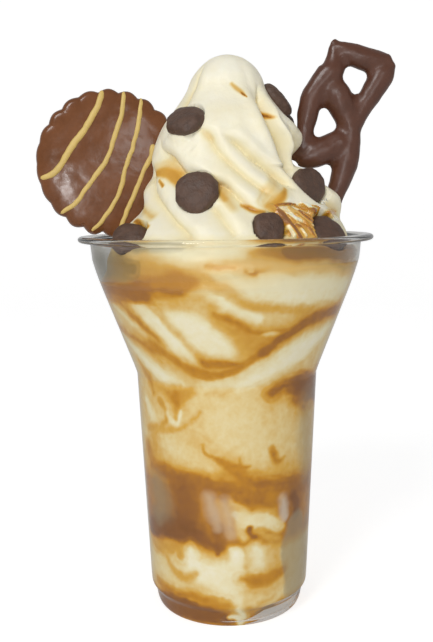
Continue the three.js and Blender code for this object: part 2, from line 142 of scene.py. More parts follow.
def smooth_path(points, step):
    """A Catmull-Rom curve through the points, at about the given spacing."""
    points = np.asarray(points, float)
    padded = np.vstack([2 * points[0] - points[1], points, 2 * points[-1] - points[-2]])
    pieces = []
    for a, b, c, d in zip(padded, padded[1:], padded[2:], padded[3:]):
        count = max(2, int(np.linalg.norm((c - b)[:3]) / step) + 1)
        t = np.linspace(0, 1, count, endpoint=False)[:, None]
        pieces.append(
            0.5 * (2 * b + (c - a) * t + (2 * a - 5 * b + 4 * c - d) * t**2)
            + 0.5 * (3 * b - a - 3 * c + d) * t**3
        )
    return np.vstack([*pieces, points[-1:]])


def evenly(points, count):
    """The same number of points along a curve, at equal distances."""
    steps = np.linalg.norm(np.diff(points, axis=0), axis=1)
    along = np.concatenate([[0], np.cumsum(steps)])
    wanted = np.linspace(0, along[-1], count)
    return np.stack([np.interp(wanted, along, column) for column in points.T], 1)


def mesh_piece(name, points, faces, values=None):
    """A smooth-shaded mesh object from points in millimetres, with named values per vertex."""
    mesh = bpy.data.meshes.new(name)
    mesh.from_pydata((np.asarray(points, float) * MM).tolist(), [], faces)
    mesh.polygons.foreach_set("use_smooth", [True] * len(mesh.polygons))
    for key, value in (values or {}).items():
        attribute = mesh.attributes.new(key, "FLOAT", "POINT")
        attribute.data.foreach_set("value", np.asarray(value, np.float32))
    mesh.update()
    piece = bpy.data.objects.new(name, mesh)
    bpy.context.scene.collection.objects.link(piece)
    return piece


def ring_faces(rings, around):
    """Quads between closed rings, and fans to a pole before the first and after the last."""
    grid = np.arange(rings * around).reshape(rings, around)
    after = np.roll(grid, -1, axis=1)
    quads = np.stack([grid[:-1], after[:-1], after[1:], grid[1:]], -1).reshape(-1, 4)
    first, last = rings * around, rings * around + 1
    fans = [(first, b, a) for a, b in zip(grid[0].tolist(), after[0].tolist())]
    fans += [(last, a, b) for a, b in zip(grid[-1].tolist(), after[-1].tolist())]
    return quads.tolist() + fans


def ring_piece(name, rings, poles, values=None):
    """A closed mesh from (rings, around, 3) points and its two poles, lowest ring first."""
    count, around = rings.shape[:2]
    points = np.vstack([rings.reshape(-1, 3), poles])
    return mesh_piece(name, points, ring_faces(count, around), values)


def tube_rings(centre, across, wide, tall, around):
    """Rings of a tube along a flat line, by its half width and its half height."""
    angle = np.arange(around) * 2 * np.pi / around
    rings = centre[:, None] + across[:, None] * (wide[:, None] * np.cos(angle))[..., None]
    rings[..., 2] += tall[:, None] * np.sin(angle)
    return rings


def capped(rings):
    """A tube's points, with the middles of its first and its last ring as its poles."""
    return np.vstack([rings.reshape(-1, 3), rings[0].mean(0), rings[-1].mean(0)])


def turned_rings(profile, around):
    """Rings of a round piece from its profile, as (radius, height) pairs."""
    azimuth = np.arange(around) * 360 / around
    radius, height = np.asarray(profile, float).T
    return around_axis(azimuth[None, :], radius[:, None], height[:, None])


def apply_modifier(piece, modifier):
    bpy.context.view_layer.objects.active = piece
    with bpy.context.temp_override(object=piece, active_object=piece):
        bpy.ops.object.modifier_apply(modifier=modifier.name)


def within(name, points):
    """Keeps points in millimetres inside the box of a solid."""
    low, high = (np.array(corner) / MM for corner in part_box(name))
    return np.clip(points, low, high)


def settle(piece, slot, material, *nodes):
    """Gives a piece its material and its body, and hides the nodes it stands for; its slot is not
    used.
    """
    piece.data.materials.clear()
    piece.data.materials.append(material)
    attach(piece, "root")
    if nodes:
        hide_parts(*nodes)
    return piece


# ---- shader helpers ----------------------------------------------------------------------


def tone(red, green, blue):
    """A display colour from 0 to 255 as the linear colour that shaders use."""
    def linear(value):
        share = value / 255
        return share / 12.92 if share <= 0.04045 else ((share + 0.055) / 1.055) ** 2.4

    return (linear(red), linear(green), linear(blue), 1.0)


def set_inputs(made, values):
    for label, value in values.items():
        made.inputs[label].default_value = value


def node(tree, kind, inputs=None, **settings):
    """A shader node with its settings and the values of its inputs."""
    made = tree.nodes.new(kind)
    for key, value in settings.items():
        setattr(made, key, value)
    set_inputs(made, inputs or {})
    return made


def wire(tree, *links):
    """Joins nodes; each link is a node and its output, then the next node and its input."""
    for source, output, target, entry in links:
        tree.links.new(source.outputs[output], target.inputs[entry])


def new_group(name, inputs, outputs):
    """A shader node group with named float inputs and typed outputs."""
    group = bpy.data.node_groups.new(name, "ShaderNodeTree")
    for label, value in inputs.items():
        socket = group.interface.new_socket(label, in_out="INPUT", socket_type="NodeSocketFloat")
        socket.default_value = value
    for label, kind in outputs.items():
        group.interface.new_socket(label, in_out="OUTPUT", socket_type=kind)
    return group, node(group, "NodeGroupInput"), node(group, "NodeGroupOutput")


def noise_texture(tree, scale, detail=2.0, roughness=0.5):
    """Noise over the piece's own coordinates; a scale of 1000 makes lumps of a millimetre."""
    place = node(tree, "ShaderNodeTexCoord")
    values = {"Scale": scale, "Detail": detail, "Roughness": roughness}
    texture = node(tree, "ShaderNodeTexNoise", values)
    wire(tree, (place, "Object", texture, "Vector"))
    return texture


def ramp(tree, stops):
    """A colour ramp from {position: colour}."""
    made = node(tree, "ShaderNodeValToRGB")
    elements = made.color_ramp.elements
    while len(elements) < len(stops):
        elements.new(0.5)
    for element, (position, colour) in zip(elements, sorted(stops.items())):
        element.position = position
        element.color = colour
    return made


def attribute(tree, name):
    """A value that the mesh holds at each vertex."""
    return node(tree, "ShaderNodeAttribute", attribute_name=name)


def spread_over(tree, low, high):
    """Takes a share from 0 to 1 to a value between two limits."""
    return node(tree, "ShaderNodeMapRange", {"To Min": low, "To Max": high})


def new_material(name):
    material = bpy.data.materials.new(name)
    material.use_nodes = True
    tree = material.node_tree
    tree.nodes.clear()
    shader = node(tree, "ShaderNodeBsdfPrincipled")
    surface = node(tree, "ShaderNodeOutputMaterial")
    wire(tree, (shader, "BSDF", surface, "Surface"))
    return material, tree, shader, surface


def use_group(tree, group, **values):
    made = node(tree, "ShaderNodeGroup")
    made.node_tree = group
    set_inputs(made, {key.replace("_", " ").capitalize(): values[key] for key in values})
    return made


# ---- shared node groups ------------------------------------------------------------------

SAUCE_TONES = {
    0.0: tone(250, 245, 226),
    0.15: tone(243, 232, 192),
    0.3: tone(233, 208, 147),
    0.45: tone(221, 172, 76),
    0.6: tone(200, 138, 34),
    0.7: tone(170, 112, 42),
    0.82: tone(142, 92, 46),
    1.0: tone(106, 64, 28),
}
# Tones of the painted shade, from pale grey for painted glare to dark olive for deep shade.
PAINTED_SHADE_TONES = {
    0.0: tone(222, 218, 206),
    0.2: tone(206, 172, 132),
    0.4: tone(160, 144, 114),
    0.6: tone(146, 126, 98),
    0.8: tone(136, 106, 38),
    1.0: tone(84, 72, 50),
}


def sauce_group():
    """The colour of ice cream from plain cream to thick caramel, with fine streaks.

    Painted shade puts a tone from pale grey to dark olive over it: shade and glare seen through
    the wall, painted on.
    """
    inputs = {"Sauce": 0.0, "Streaks": 0.1, "Painted_shade": 0.0, "Tone": 0.5}
    outputs = {"Color": "NodeSocketColor", "Wet": "NodeSocketFloat"}
    group, given, result = new_group("Caramel in Cream", inputs, outputs)
    fine = noise_texture(group, 420, detail=4, roughness=0.6)
    shift = node(group, "ShaderNodeMath", {1: 0.5}, operation="SUBTRACT")
    scaled = node(group, "ShaderNodeMath", operation="MULTIPLY")
    total = node(group, "ShaderNodeMath", operation="ADD", use_clamp=True)
    colours = ramp(group, SAUCE_TONES)
    shade_ramp = ramp(group, PAINTED_SHADE_TONES)
    veil = node(group, "ShaderNodeMix", data_type="RGBA")
    wire(
        group,
        (fine, "Fac", shift, 0), (shift, 0, scaled, 0), (given, "Streaks", scaled, 1),
        (given, "Sauce", total, 0), (scaled, 0, total, 1), (total, 0, colours, "Fac"),
        (given, "Tone", shade_ramp, "Fac"), (given, "Painted_shade", veil, "Factor"),
        (colours, "Color", veil, "A"), (shade_ramp, "Color", veil, "B"),
        (veil, "Result", result, "Color"), (total, 0, result, "Wet"),
    )
    return group


def mottle_group():
    """Uneven shade over a chocolate coat: broad clouds with finer specks in them."""
    inputs = {"Dark": 0.8, "Light": 1.2, "Cloud size": 300.0, "Speck size": 1500.0}
    outputs = {"Shade": "NodeSocketColor", "Mask": "NodeSocketFloat"}
    group, given, result = new_group("Chocolate Mottle", inputs, outputs)
    cloud = noise_texture(group, 300, detail=3)
    speck = noise_texture(group, 1500, detail=2)
    both = node(group, "ShaderNodeMath", {1: 0.35}, operation="MULTIPLY_ADD")
    spread = node(group, "ShaderNodeMapRange", {"From Min": 0.42, "From Max": 0.92})
    shade = node(group, "ShaderNodeMapRange")
    wire(
        group,
        (given, "Cloud size", cloud, "Scale"), (given, "Speck size", speck, "Scale"),
        (speck, "Fac", both, 0), (cloud, "Fac", both, 2), (both, 0, spread, "Value"),
        (spread, "Result", shade, "Value"),
        (given, "Dark", shade, "To Min"), (given, "Light", shade, "To Max"),
        (shade, "Result", result, "Shade"), (spread, "Result", result, "Mask"),
    )
    return group


def relief_group():
    """Low relief in two sizes, as a height for a bump."""
    inputs = {"Broad size": 200.0, "Fine size": 900.0, "Fine share": 0.3}
    group, given, result = new_group("Soft Relief", inputs, {"Height": "NodeSocketFloat"})
    broad = noise_texture(group, 200)
    fine = noise_texture(group, 900)
    total = node(group, "ShaderNodeMath", operation="MULTIPLY_ADD")
    wire(
        group,
        (given, "Broad size", broad, "Scale"), (given, "Fine size", fine, "Scale"),
        (fine, "Fac", total, 0), (given, "Fine share", total, 1), (broad, "Fac", total, 2),
        (total, 0, result, "Height"),
    )
    return group


SAUCE = sauce_group()
MOTTLE = mottle_group()
RELIEF = relief_group()


def add_relief(tree, shader, distance, **sizes):
    """Joins the shared relief to a shader's normal through a bump."""
    relief = use_group(tree, RELIEF, **sizes)
    bump = node(tree, "ShaderNodeBump", {"Strength": 1.0, "Distance": distance})
    wire(tree, (relief, "Height", bump, "Height"), (bump, "Normal", shader, "Normal"))


# ---- materials ---------------------------------------------------------------------------

# Tint of the plastic, from seen face on to seen edge on.
PLASTIC_TINTS = {
    0.0: (0.96, 0.96, 0.95, 1),
    0.5: (0.95, 0.95, 0.94, 1),
    0.7: (0.82, 0.8, 0.73, 1),
    0.86: (0.56, 0.53, 0.44, 1),
    1.0: (0.3, 0.27, 0.2, 1),
}
GAP_SHADE_TINT = (0.2, 0.18, 0.11, 1)  # painted shade on the wall, for the shaded gap behind it beside the swirl


def clear_plastic():
    """Thin clear plastic, grey where it is seen edge on, with painted shade beside the swirl; it
    lets the lamps reach the inside.
    """
    material, tree, shader, surface = new_material("clear_plastic")
    set_inputs(shader, {"Roughness": 0.03, "IOR": 1.33, "Transmission Weight": 1.0})
    facing = node(tree, "ShaderNodeLayerWeight")
    tint = ramp(tree, PLASTIC_TINTS)
    # film mixes the painted shade beside the swirl into the plastic's tint
    film = node(tree, "ShaderNodeMix", {"B": GAP_SHADE_TINT}, data_type="RGBA")
    through = node(tree, "ShaderNodeBsdfTransparent", {"Color": (0.96, 0.96, 0.95, 1)})
    rays = node(tree, "ShaderNodeLightPath")
    either = node(tree, "ShaderNodeMath", operation="MAXIMUM")
    mix = node(tree, "ShaderNodeMixShader")
    wire(
        tree,
        (facing, "Facing", tint, "Fac"), (attribute(tree, "gap_shade"), "Fac", film, "Factor"),
        (tint, "Color", film, "A"), (film, "Result", shader, "Base Color"),
        (rays, "Is Shadow Ray", either, 0), (rays, "Is Diffuse Ray", either, 1),
        (either, 0, mix, "Fac"), (shader, "BSDF", mix, 1), (through, "BSDF", mix, 2),
        (mix, "Shader", surface, "Surface"),
    )
    return material


def creamy(name, streaks, dry, wet):
    """Ice cream with caramel in it; its roughness goes from dry cream to wet caramel."""
    material, tree, shader, _ = new_material(name)
    colour = use_group(tree, SAUCE, streaks=streaks)
    # Painted shade and its tone come in beside the caramel, as values on each vertex.
    for key in ("sauce", "painted_shade", "tone"):
        wire(tree, (attribute(tree, key), "Fac", colour, key.capitalize()))
    gloss = spread_over(tree, dry, wet)
    wire(
        tree,
        (colour, "Color", shader, "Base Color"), (colour, "Wet", gloss, "Value"),
        (gloss, "Result", shader, "Roughness"),
    )
    return material, tree, shader


def filling_material():
    """Ice cream pressed against the wall, so without a shine of its own."""
    material, _, shader = creamy("ice_cream_in_cup", 0.2, 0.6, 0.5)
    set_inputs(shader, {"Specular IOR Level": 0.1})
    return material


def swirl_material():
    """Soft ice cream in the open; it scatters light only above the cup."""
    material, tree, shader = creamy("soft_ice_cream", 0.05, 0.5, 0.16)
    set_inputs(shader, {"Subsurface Radius": (1.0, 0.9, 0.7), "Subsurface Scale": 2.0 * MM})
    wire(tree, (attribute(tree, "soft"), "Fac", shader, "Subsurface Weight"))
    add_relief(tree, shader, 0.35 * MM, broad_size=160.0, fine_size=1200.0, fine_share=0.15)
    return material


def chocolate(name, colour, roughness, mottle, relief, shine=0.5):
    """A chocolate coat: its colour, a pair of roughness limits, mottle, relief and shine."""
    material, tree, shader, _ = new_material(name)
    set_inputs(shader, {"Specular IOR Level": shine})
    shade = use_group(tree, MOTTLE, **mottle)
    values = {"Factor": 1.0, "A": colour}
    tint = node(tree, "ShaderNodeMix", values, data_type="RGBA", blend_type="MULTIPLY")
    gloss = spread_over(tree, *roughness)
    wire(
        tree,
        (shade, "Shade", tint, "B"), (tint, "Result", shader, "Base Color"),
        (shade, "Mask", gloss, "Value"), (gloss, "Result", shader, "Roughness"),
    )
    add_relief(tree, shader, **relief)
    return material


def caramel_sauce():
    """Thick glossy caramel, coloured by how much caramel each place holds."""
    material, tree, shader, _ = new_material("caramel_sauce")
    set_inputs(shader, {
        "Roughness": 0.12, "Coat Weight": 0.6, "Subsurface Weight": 0.3,
        "Subsurface Radius": (1.0, 0.6, 0.2), "Subsurface Scale": 1.5 * MM,
    })
    colour = use_group(tree, SAUCE, streaks=0.2)
    wire(
        tree,
        (attribute(tree, "sauce"), "Fac", colour, "Sauce"),
        (colour, "Color", shader, "Base Color"),
    )
    return material


# ---- the cup -----------------------------------------------------------------------------

SHOULDER = [(39.8, 106.0), (43.4, 115.2), (44.5, 120.0)]


def bezier(start, middle, end, count):
    t = np.linspace(0, 1, count)[:, None]
    start, middle, end = (np.array(p) for p in (start, middle, end))
    return start * (1 - t) ** 2 + 2 * middle * t * (1 - t) + end * t**2


def outer_wall():
    """Outside of the wall from the heel up to the rim, as (radius, height) rows."""
    straight = [
        (HEEL_RADIUS - 0.7, 2.0),
        (HEEL_RADIUS, HEEL_HEIGHT),
        (27.2, 7.7),
        (27.4, 11.0),
        (29.0, 46.0),
        (WAIST_RADIUS, WAIST_HEIGHT),
        (WAIST_RADIUS + 1.1, WAIST_HEIGHT + 3.2),
    ]
    top = (COLLAR_RADIUS, CUP_HEIGHT - RIM_THICKNESS - 0.5)
    return np.vstack([straight, bezier(*SHOULDER, 14), [top]])


OUTER_WALL = outer_wall()


def cup_inside(height):
    """Inside radius of the cup at a height."""
    heights = np.concatenate([[FLOOR], OUTER_WALL[:, 1]])
    radii = np.concatenate([[FLOOR_RADIUS], OUTER_WALL[:, 0] - WALL])
    return np.interp(height, heights, radii)


def cup_outside(height):
    """Outside radius of the cup below its rim at a height."""
    heights = np.concatenate([[0, 0.6], OUTER_WALL[:, 1]])
    radii = np.concatenate([[FOOT_RADIUS, FOOT_RADIUS + 1.2], OUTER_WALL[:, 0]])
    return np.interp(height, heights, radii)


def rounded(profile, corner, count=4):
    """Rounds every corner of an open profile with a small arc."""
    points = [profile[0]]
    for before, at, after in zip(profile, profile[1:], profile[2:]):
        before, at, after = (np.array(p, float) for p in (before, at, after))
        reach_in = min(corner, np.linalg.norm(before - at) / 2.2)
        reach_out = min(corner, np.linalg.norm(after - at) / 2.2)
        start = at + (before - at) / np.linalg.norm(before - at) * reach_in
        end = at + (after - at) / np.linalg.norm(after - at) * reach_out
        points.extend(bezier(start, at, end, count))
    points.append(profile[-1])
    return np.array([tuple(p) for p in points])


CUP_CORNER = 0.5  # radius of the cup's small corners
GAP_SHADE = (-88, 30)  # azimuth and width of the painted shade on the wall beside the swirl
GAP_SHADE_HEIGHTS = (107, 126.5)


def make_cup():
    underside = CUP_HEIGHT - RIM_THICKNESS
    outside = [
        (0.4, 0.0),
        (FOOT_RADIUS, 0.0),
        (FOOT_RADIUS + 1.2, 0.6),
        *OUTER_WALL,
        (COLLAR_RADIUS + 0.5, underside),
        (RIM_RADIUS - 0.9, underside),
        (RIM_RADIUS, underside + 0.6),
        (RIM_RADIUS, CUP_HEIGHT - 0.6),
        (RIM_RADIUS - 0.7, CUP_HEIGHT),
        (COLLAR_RADIUS + 0.6, CUP_HEIGHT),
        (COLLAR_RADIUS - 0.4, CUP_HEIGHT - 0.5),
    ]
    inside = [(r - WALL, h) for r, h in OUTER_WALL[::-1]]
    profile = rounded([*outside, *inside, (FLOOR_RADIUS, FLOOR), (0.4, FLOOR)], CUP_CORNER)
    rings = turned_rings(profile, CUP_COLUMNS)
    azimuth = np.arange(CUP_COLUMNS) * 360 / CUP_COLUMNS
    height = rings[..., 2]
    # Painted shade on the wall beside the swirl, strongest in the middle of its heights.
    low, high = GAP_SHADE_HEIGHTS
    gap_shade = smoothstep(low, low + 7, height) * smoothstep(high, high - 4.5, height)
    gap_shade = gap_shade * bell(azimuth, *GAP_SHADE)
    gap_shade = gap_shade * (0.85 + 0.3 * layered_noise(rings * (1, 1, 0.35), 5.0, 91))
    gap_shade = np.append(np.clip(gap_shade, 0, 1).reshape(-1), [0, 0])
    return ring_piece("clear_cup", rings, [(0, 0, 0), (0, 0, FLOOR)], {"gap_shade": gap_shade})


# ---- the caramel ripple ------------------------------------------------------------------

# Ribbons of caramel and of cream, painted in this order over the filling. Each is how much
# caramel it holds, from 0 for cream to 1 for the darkest caramel, how far its edge blurs, and
# the azimuth, height and width of points along it.
COLLAR_RIBBONS = [
    (0.13, 2, [(-8, 120, 1), (2, 116.4, 4), (19, 113.6, 7), (40, 112, 9), (64, 111, 5)]),
    (0.06, 1.5, [(-13, 111, 2), (-2, 109, 4), (14, 104, 2)]),
    (0.1, 2, [(-26, 107, 2), (-19, 103, 6), (-10, 98, 8), (-3, 94, 5), (1, 91, 2)]),
    (0.07, 1.5, [(-50, 110, 1), (-40, 105, 4), (-28, 97, 5), (-17, 91, 2)]),
    (0.14, 1, [(-69, 108, 1), (-54, 102, 2), (-44, 97, 1)]),
    (0.08, 2, [(-70, 97, 1), (-55, 90, 4), (-40, 84, 5), (-30, 82, 3)]),
    (0.08, 2, [(-12, 83, 3), (8, 85, 6), (30, 90, 8), (50, 95, 6), (64, 98, 2)]),
    (0.12, 2, [(-32, 124, 3), (-18, 123, 5), (-2, 123, 3), (9, 124, 1)]),
    (0.42, 3, [(-52, 119, 6), (-36, 119, 6), (-24, 119, 3)]),
    (0.64, 2.2, [(-46, 112.4, 4), (-36, 113, 7), (-26, 113.8, 7), (-17, 115, 5)]),
    (0.72, 2, [(-76, 110.6, 5), (-58, 111, 6), (-42, 111, 6), (-30, 111.6, 5), (-19, 112, 3)]),
    (0.62, 1.6, [(-30, 114.6, 3), (-22, 116, 5), (-14, 115.4, 4)]),
    (0.42, 2, [(-30, 109, 3), (-20, 109, 3), (-11, 110, 2), (-5, 107, 2)]),
    (0.46, 1.5, [(-9, 117, 1), (-4, 113, 2), (5, 109, 2), (18, 107, 2), (40, 105, 2)]),
    (0.6, 1, [(-8, 120, 0.6), (-3, 119, 1.2), (3, 119, 0.6)]),
    (0.64, 1, [(8, 118, 1), (12, 118, 1.6), (16, 119, 0.6)]),
    (0.56, 1.6, [(10, 123.6, 1), (17, 123.4, 3), (27, 122.6, 5)]),
    (0.76, 2.2, [(25, 123.4, 4), (44, 122.6, 5.4), (74, 121.6, 8)]),
    (0.4, 1.6, [(14, 119.4, 1.6), (32, 118.4, 2), (54, 117.4, 3), (76, 117, 4)]),
    (0.48, 2.5, [(-4, 103, 2), (5, 99, 5), (14, 96, 6), (24, 97, 4)]),
    (0.62, 1, [(-5, 105, 1.4), (4, 103, 2.4), (14, 100, 2), (27, 100, 1.6), (42, 101, 1)]),
    (0.22, 0.8, [(17, 99, 1), (21, 99, 2), (25, 99, 1)]),
    (0.38, 1, [(-34, 107, 1), (-25, 100, 1.4), (-14, 92, 1)]),
    (0.62, 1.2, [(-62, 110, 1), (-50, 104, 2), (-37, 96, 2)]),
    (0.62, 1.5, [(-80, 100, 2), (-57, 96, 2), (-41, 93, 2)]),
    (0.6, 1.2, [(-44, 95, 2), (-31, 91, 3), (-18, 87, 4), (-3, 86, 3), (8, 89, 3), (20, 94, 3)]),
    (0.64, 1, [(-14, 92, 1), (-10, 90, 3), (3, 89, 2)]),
    (0.72, 1.5, [(17, 93, 3), (31, 98, 4), (48, 103, 4), (66, 104, 5)]),
]
WAIST_RIBBONS = [
    (0.27, 3, [(-2, 70, 9), (9, 65, 11), (17, 59, 7)]),
    (0.27, 2.5, [(-39, 62, 4), (-28, 58, 5), (-12, 55, 3)]),
    (0.56, 1.5, [(-60, 88, 1), (-56, 83, 3), (-52, 78, 2)]),
    (0.5, 2, [(-46, 80, 2), (-36, 79, 4), (-28, 79, 5), (-23, 80, 2)]),
    (0.62, 1.5, [(-34, 78, 4), (-32, 75, 2)]),
    (0.38, 1.5, [(-12, 80, 1), (-6, 80, 2), (1, 81, 1)]),
    (0.17, 1.5, [(-61, 74, 2), (-55, 70, 3)]),
    (0.55, 0.8, [(-46, 76, 1), (-41, 71, 1.4), (-45, 68, 1)]),
    (0.08, 0.8, [(-40, 72, 1), (-35, 69, 1), (-30, 73, 1)]),
    (0.55, 0.8, [(-34, 74, 0.6), (-34, 71, 1)]),
    (0.5, 1.2, [(-62, 65, 1), (-44, 67, 1.4), (-27, 69, 1), (-17, 73, 0.6)]),
    (0.46, 3, [(-54, 65, 3), (-55, 57, 4)]),
    (0.66, 2, [(-64, 59, 2), (-57, 54, 3), (-42, 52, 4), (-22, 51, 3), (2, 50, 2)]),
    (0.6, 0.6, [(-15, 64, 0.5), (-14, 61, 0.7), (-9, 59, 1.2), (-3, 57, 2), (4, 55, 3)]),
    (0.6, 0.6, [(7, 58, 0.5), (8, 56, 1.4), (13, 56, 0.8)]),
    (0.62, 1.5, [(4, 55, 3), (9, 52, 5), (14, 48, 5), (18, 44, 4)]),
    (0.64, 0.8, [(27.5, 61.4, 0.7), (30.5, 58.4, 2.2), (34, 56.4, 2.4), (38, 57.4, 1.2)]),
    (0.5, 0.6, [(34, 55, 1), (38, 53, 0.8)]),
    (0.34, 2, [(27, 77, 2), (27, 66, 2)]),
    (0.84, 3, [(26, 79, 1), (34, 81, 2), (45, 80, 6), (65, 77.6, 9), (80, 77, 11)]),
    (0.7, 2, [(45, 75, 2), (58, 72, 2)]),
]
BAND_RIBBONS = [
    (0.7, 1.5, [(-60, 51.6, 2), (-40, 50, 3), (-24, 49.6, 3.4), (-8, 48.4, 3), (2, 47, 2)]),
    (0.72, 2.5, [(20, 50, 2), (35, 49, 3), (67, 45, 4)]),
    (0.8, 3, [(-31, 46, 6), (-28, 42, 8), (-31, 37, 8)]),
    (0.86, 2, [(-67, 30, 6), (-46, 33, 8), (-29, 33, 7), (-18, 32, 5), (-9, 30, 2)]),
    (0.66, 1.5, [(-19, 46, 2), (-14, 40, 3), (-12, 35, 2), (-11, 31, 1)]),
    (0.5, 1.2, [(-8, 44, 1), (-4, 41, 3), (-2, 37, 2)]),
    (0.78, 1.5, [(-6, 36, 2), (-6, 32, 4), (-7, 29, 2)]),
    (0.8, 0.8, [(-9, 29, 2), (-9, 27, 1)]),
    (0.6, 1.5, [(2, 33, 3), (8, 33, 3)]),
    (0.36, 1.2, [(2, 44, 3), (9, 41, 3), (8, 35, 2), (11, 32, 2)]),
    (0.18, 2, [(4, 40, 3), (13, 38, 5), (24, 37, 6), (34, 34, 3)]),
    (0.68, 2, [(5, 46, 3), (13, 45, 5), (22, 43, 3)]),
    (0.8, 0.7, [(14, 35, 1.4), (15, 33, 1), (18, 31, 1.8)]),
    (0.44, 1.2, [(20, 33, 2), (26, 31, 2), (34, 30, 1.4)]),
    (0.86, 1, [(48, 43, 4), (51, 39, 3), (51, 35, 2)]),
]
FOOT_RIBBONS = [
    (0.1, 2.5, [(-27, 27, 4), (-27, 23, 6), (-18, 20, 7), (-6, 18, 9), (1, 13, 7), (4, 11, 4)]),
    (0.08, 2, [(4, 27, 3), (4, 20, 4)]),
    (0.24, 2, [(-62, 19, 2), (-46, 15, 3), (-27, 14, 3)]),
    (0.5, 2, [(-64, 24, 3), (-47, 26, 4), (-38, 27, 3), (-36, 24, 2)]),
    (0.46, 1.5, [(-50, 23, 1), (-43, 19, 2), (-33, 17, 2), (-25, 19, 2)]),
    (0.36, 0.8, [(11, 28, 1), (11, 22, 1)]),
    (0.14, 1.5, [(18, 27, 4), (19, 22, 3)]),
    (0.36, 1.5, [(26, 26, 1.4), (27, 21, 2)]),
    (0.42, 2, [(33, 26, 2), (34, 19, 3)]),
    (0.34, 2.5, [(10, 13.4, 2), (24, 12.4, 4), (38, 13, 3)]),
    (0.62, 2, [(7, 18, 1.4), (17, 17, 3.4), (29, 17.4, 3.6), (40, 18.2, 2.6)]),
    (0.3, 1.5, [(12, 11, 3), (27, 9, 3), (37, 11, 2)]),
    (0.44, 1, [(20, 9, 1), (30, 10, 1)]),
    (0.56, 2, [(-62, 12, 2), (-45, 10, 3), (-27, 11, 3), (-9, 9.5, 3), (3, 8, 2)]),
    (0.82, 1.5, [(-80, 4, 8), (-48, 5, 8), (-28, 5, 8), (-12, 4, 6), (-3, 2, 4)]),
    (0.12, 1.6, [(5, 10, 1.4), (7, 6, 2.4), (9, 2, 3)]),
    (0.1, 0.8, [(-1, 3, 0.8), (3, 3, 1.6), (7, 1, 2)]),
]
FRONT_RIBBONS = [*COLLAR_RIBBONS, *WAIST_RIBBONS, *BAND_RIBBONS, *FOOT_RIBBONS]


# How much caramel each level of the filling holds before any ribbon, as (height, caramel).
GROUND = [
    (0, 0.6), (7, 0.5), (10, 0.26), (26, 0.3), (30, 0.66), (47, 0.64), (52, 0.42),
    (60, 0.33), (80, 0.31), (88, 0.32), (116, 0.3), (124, 0.3), (129, 0.05),
]

# Stains of sauce on the swirl.
STAINS = [
    (0.26, 1.6, [(-58, 149.4, 2), (-46, 149, 4), (-34, 146.4, 3)]),
    (0.5, 1.0, [(-58, 147, 1.4), (-50, 147.6, 2.8), (-42, 147.2, 3.2), (-35, 145.4, 2.6),
                (-30, 143, 1)]),
    (0.72, 0.4, [(-60, 146.4, 0.5), (-56, 146, 1.1), (-55, 144.4, 0.5), (-57, 143.6, 0.8)]),
    (0.68, 0.5, [(-48, 145, 0.5), (-43, 143.4, 0.9)]),
    (0.3, 1.4, [(-8, 145, 1.5), (-5, 142.9, 2.6), (-1, 139.9, 3), (3, 136.5, 2)]),
    (0.44, 0.8, [(-4, 141, 0.8), (-1, 139, 1.2)]),
    (0.36, 1.6, [(-60, 136.8, 1), (-52, 135.4, 2), (-43, 133.6, 1.6)]),
    (0.66, 0.6, [(-64, 132.8, 0.8), (-55, 132.4, 1.8), (-47, 131.6, 1.6), (-41, 130.8, 0.8)]),
    (0.42, 0.6, [(6, 175, 0.8), (12, 173.6, 1.4), (18, 172.2, 1.4), (21, 171.4, 0.8)]),
    (0.8, 0.25, [(17, 172.2, 0.4), (20, 171.4, 0.8), (22.5, 170.6, 0.3)]),
    (0.5, 0.6, [(37, 168, 0.8), (41, 166.4, 1.5), (46, 164.4, 1)]),
    (0.72, 0.3, [(41, 166.2, 0.4), (44, 165.2, 0.8), (46, 164.4, 0.3)]),
    (0.2, 1, [(-19, 160, 1.2), (-14, 158.4, 2), (-10, 157.4, 1)]),
    (0.56, 0.9, [(38, 142, 0.8), (34, 140.6, 1.8), (30, 139.2, 2.6), (26, 138, 2.4),
                 (21, 136.8, 1)]),
    (0.6, 0.7, [(8, 137.2, 0.6), (11, 136.4, 1.5), (15, 135.4, 1.6), (19, 135, 1)]),
    (0.3, 2, [(20, 138, 2), (26, 141, 3), (32, 144, 2)]),
]

# Sauce lying on the swirl at the right: broad pools of it, and thin strands over them.
SAUCE_POOLS = [
    (0.5, 1.2, [(24, 136, 3), (30, 133, 5), (36, 131, 8), (44, 131, 8), (54, 132, 7),
                (62, 132.5, 4)]),
    (0.42, 0.8, [(34, 136, 2), (38, 133.4, 3.4), (42, 130.6, 2)]),
    (0.62, 0.7, [(59, 134.6, 1), (66, 134.8, 1.8), (77, 134.2, 1.4)]),
    (0.08, 0.7, [(51, 132, 1), (60, 132.4, 1.8), (69, 132.6, 1.2)]),
]
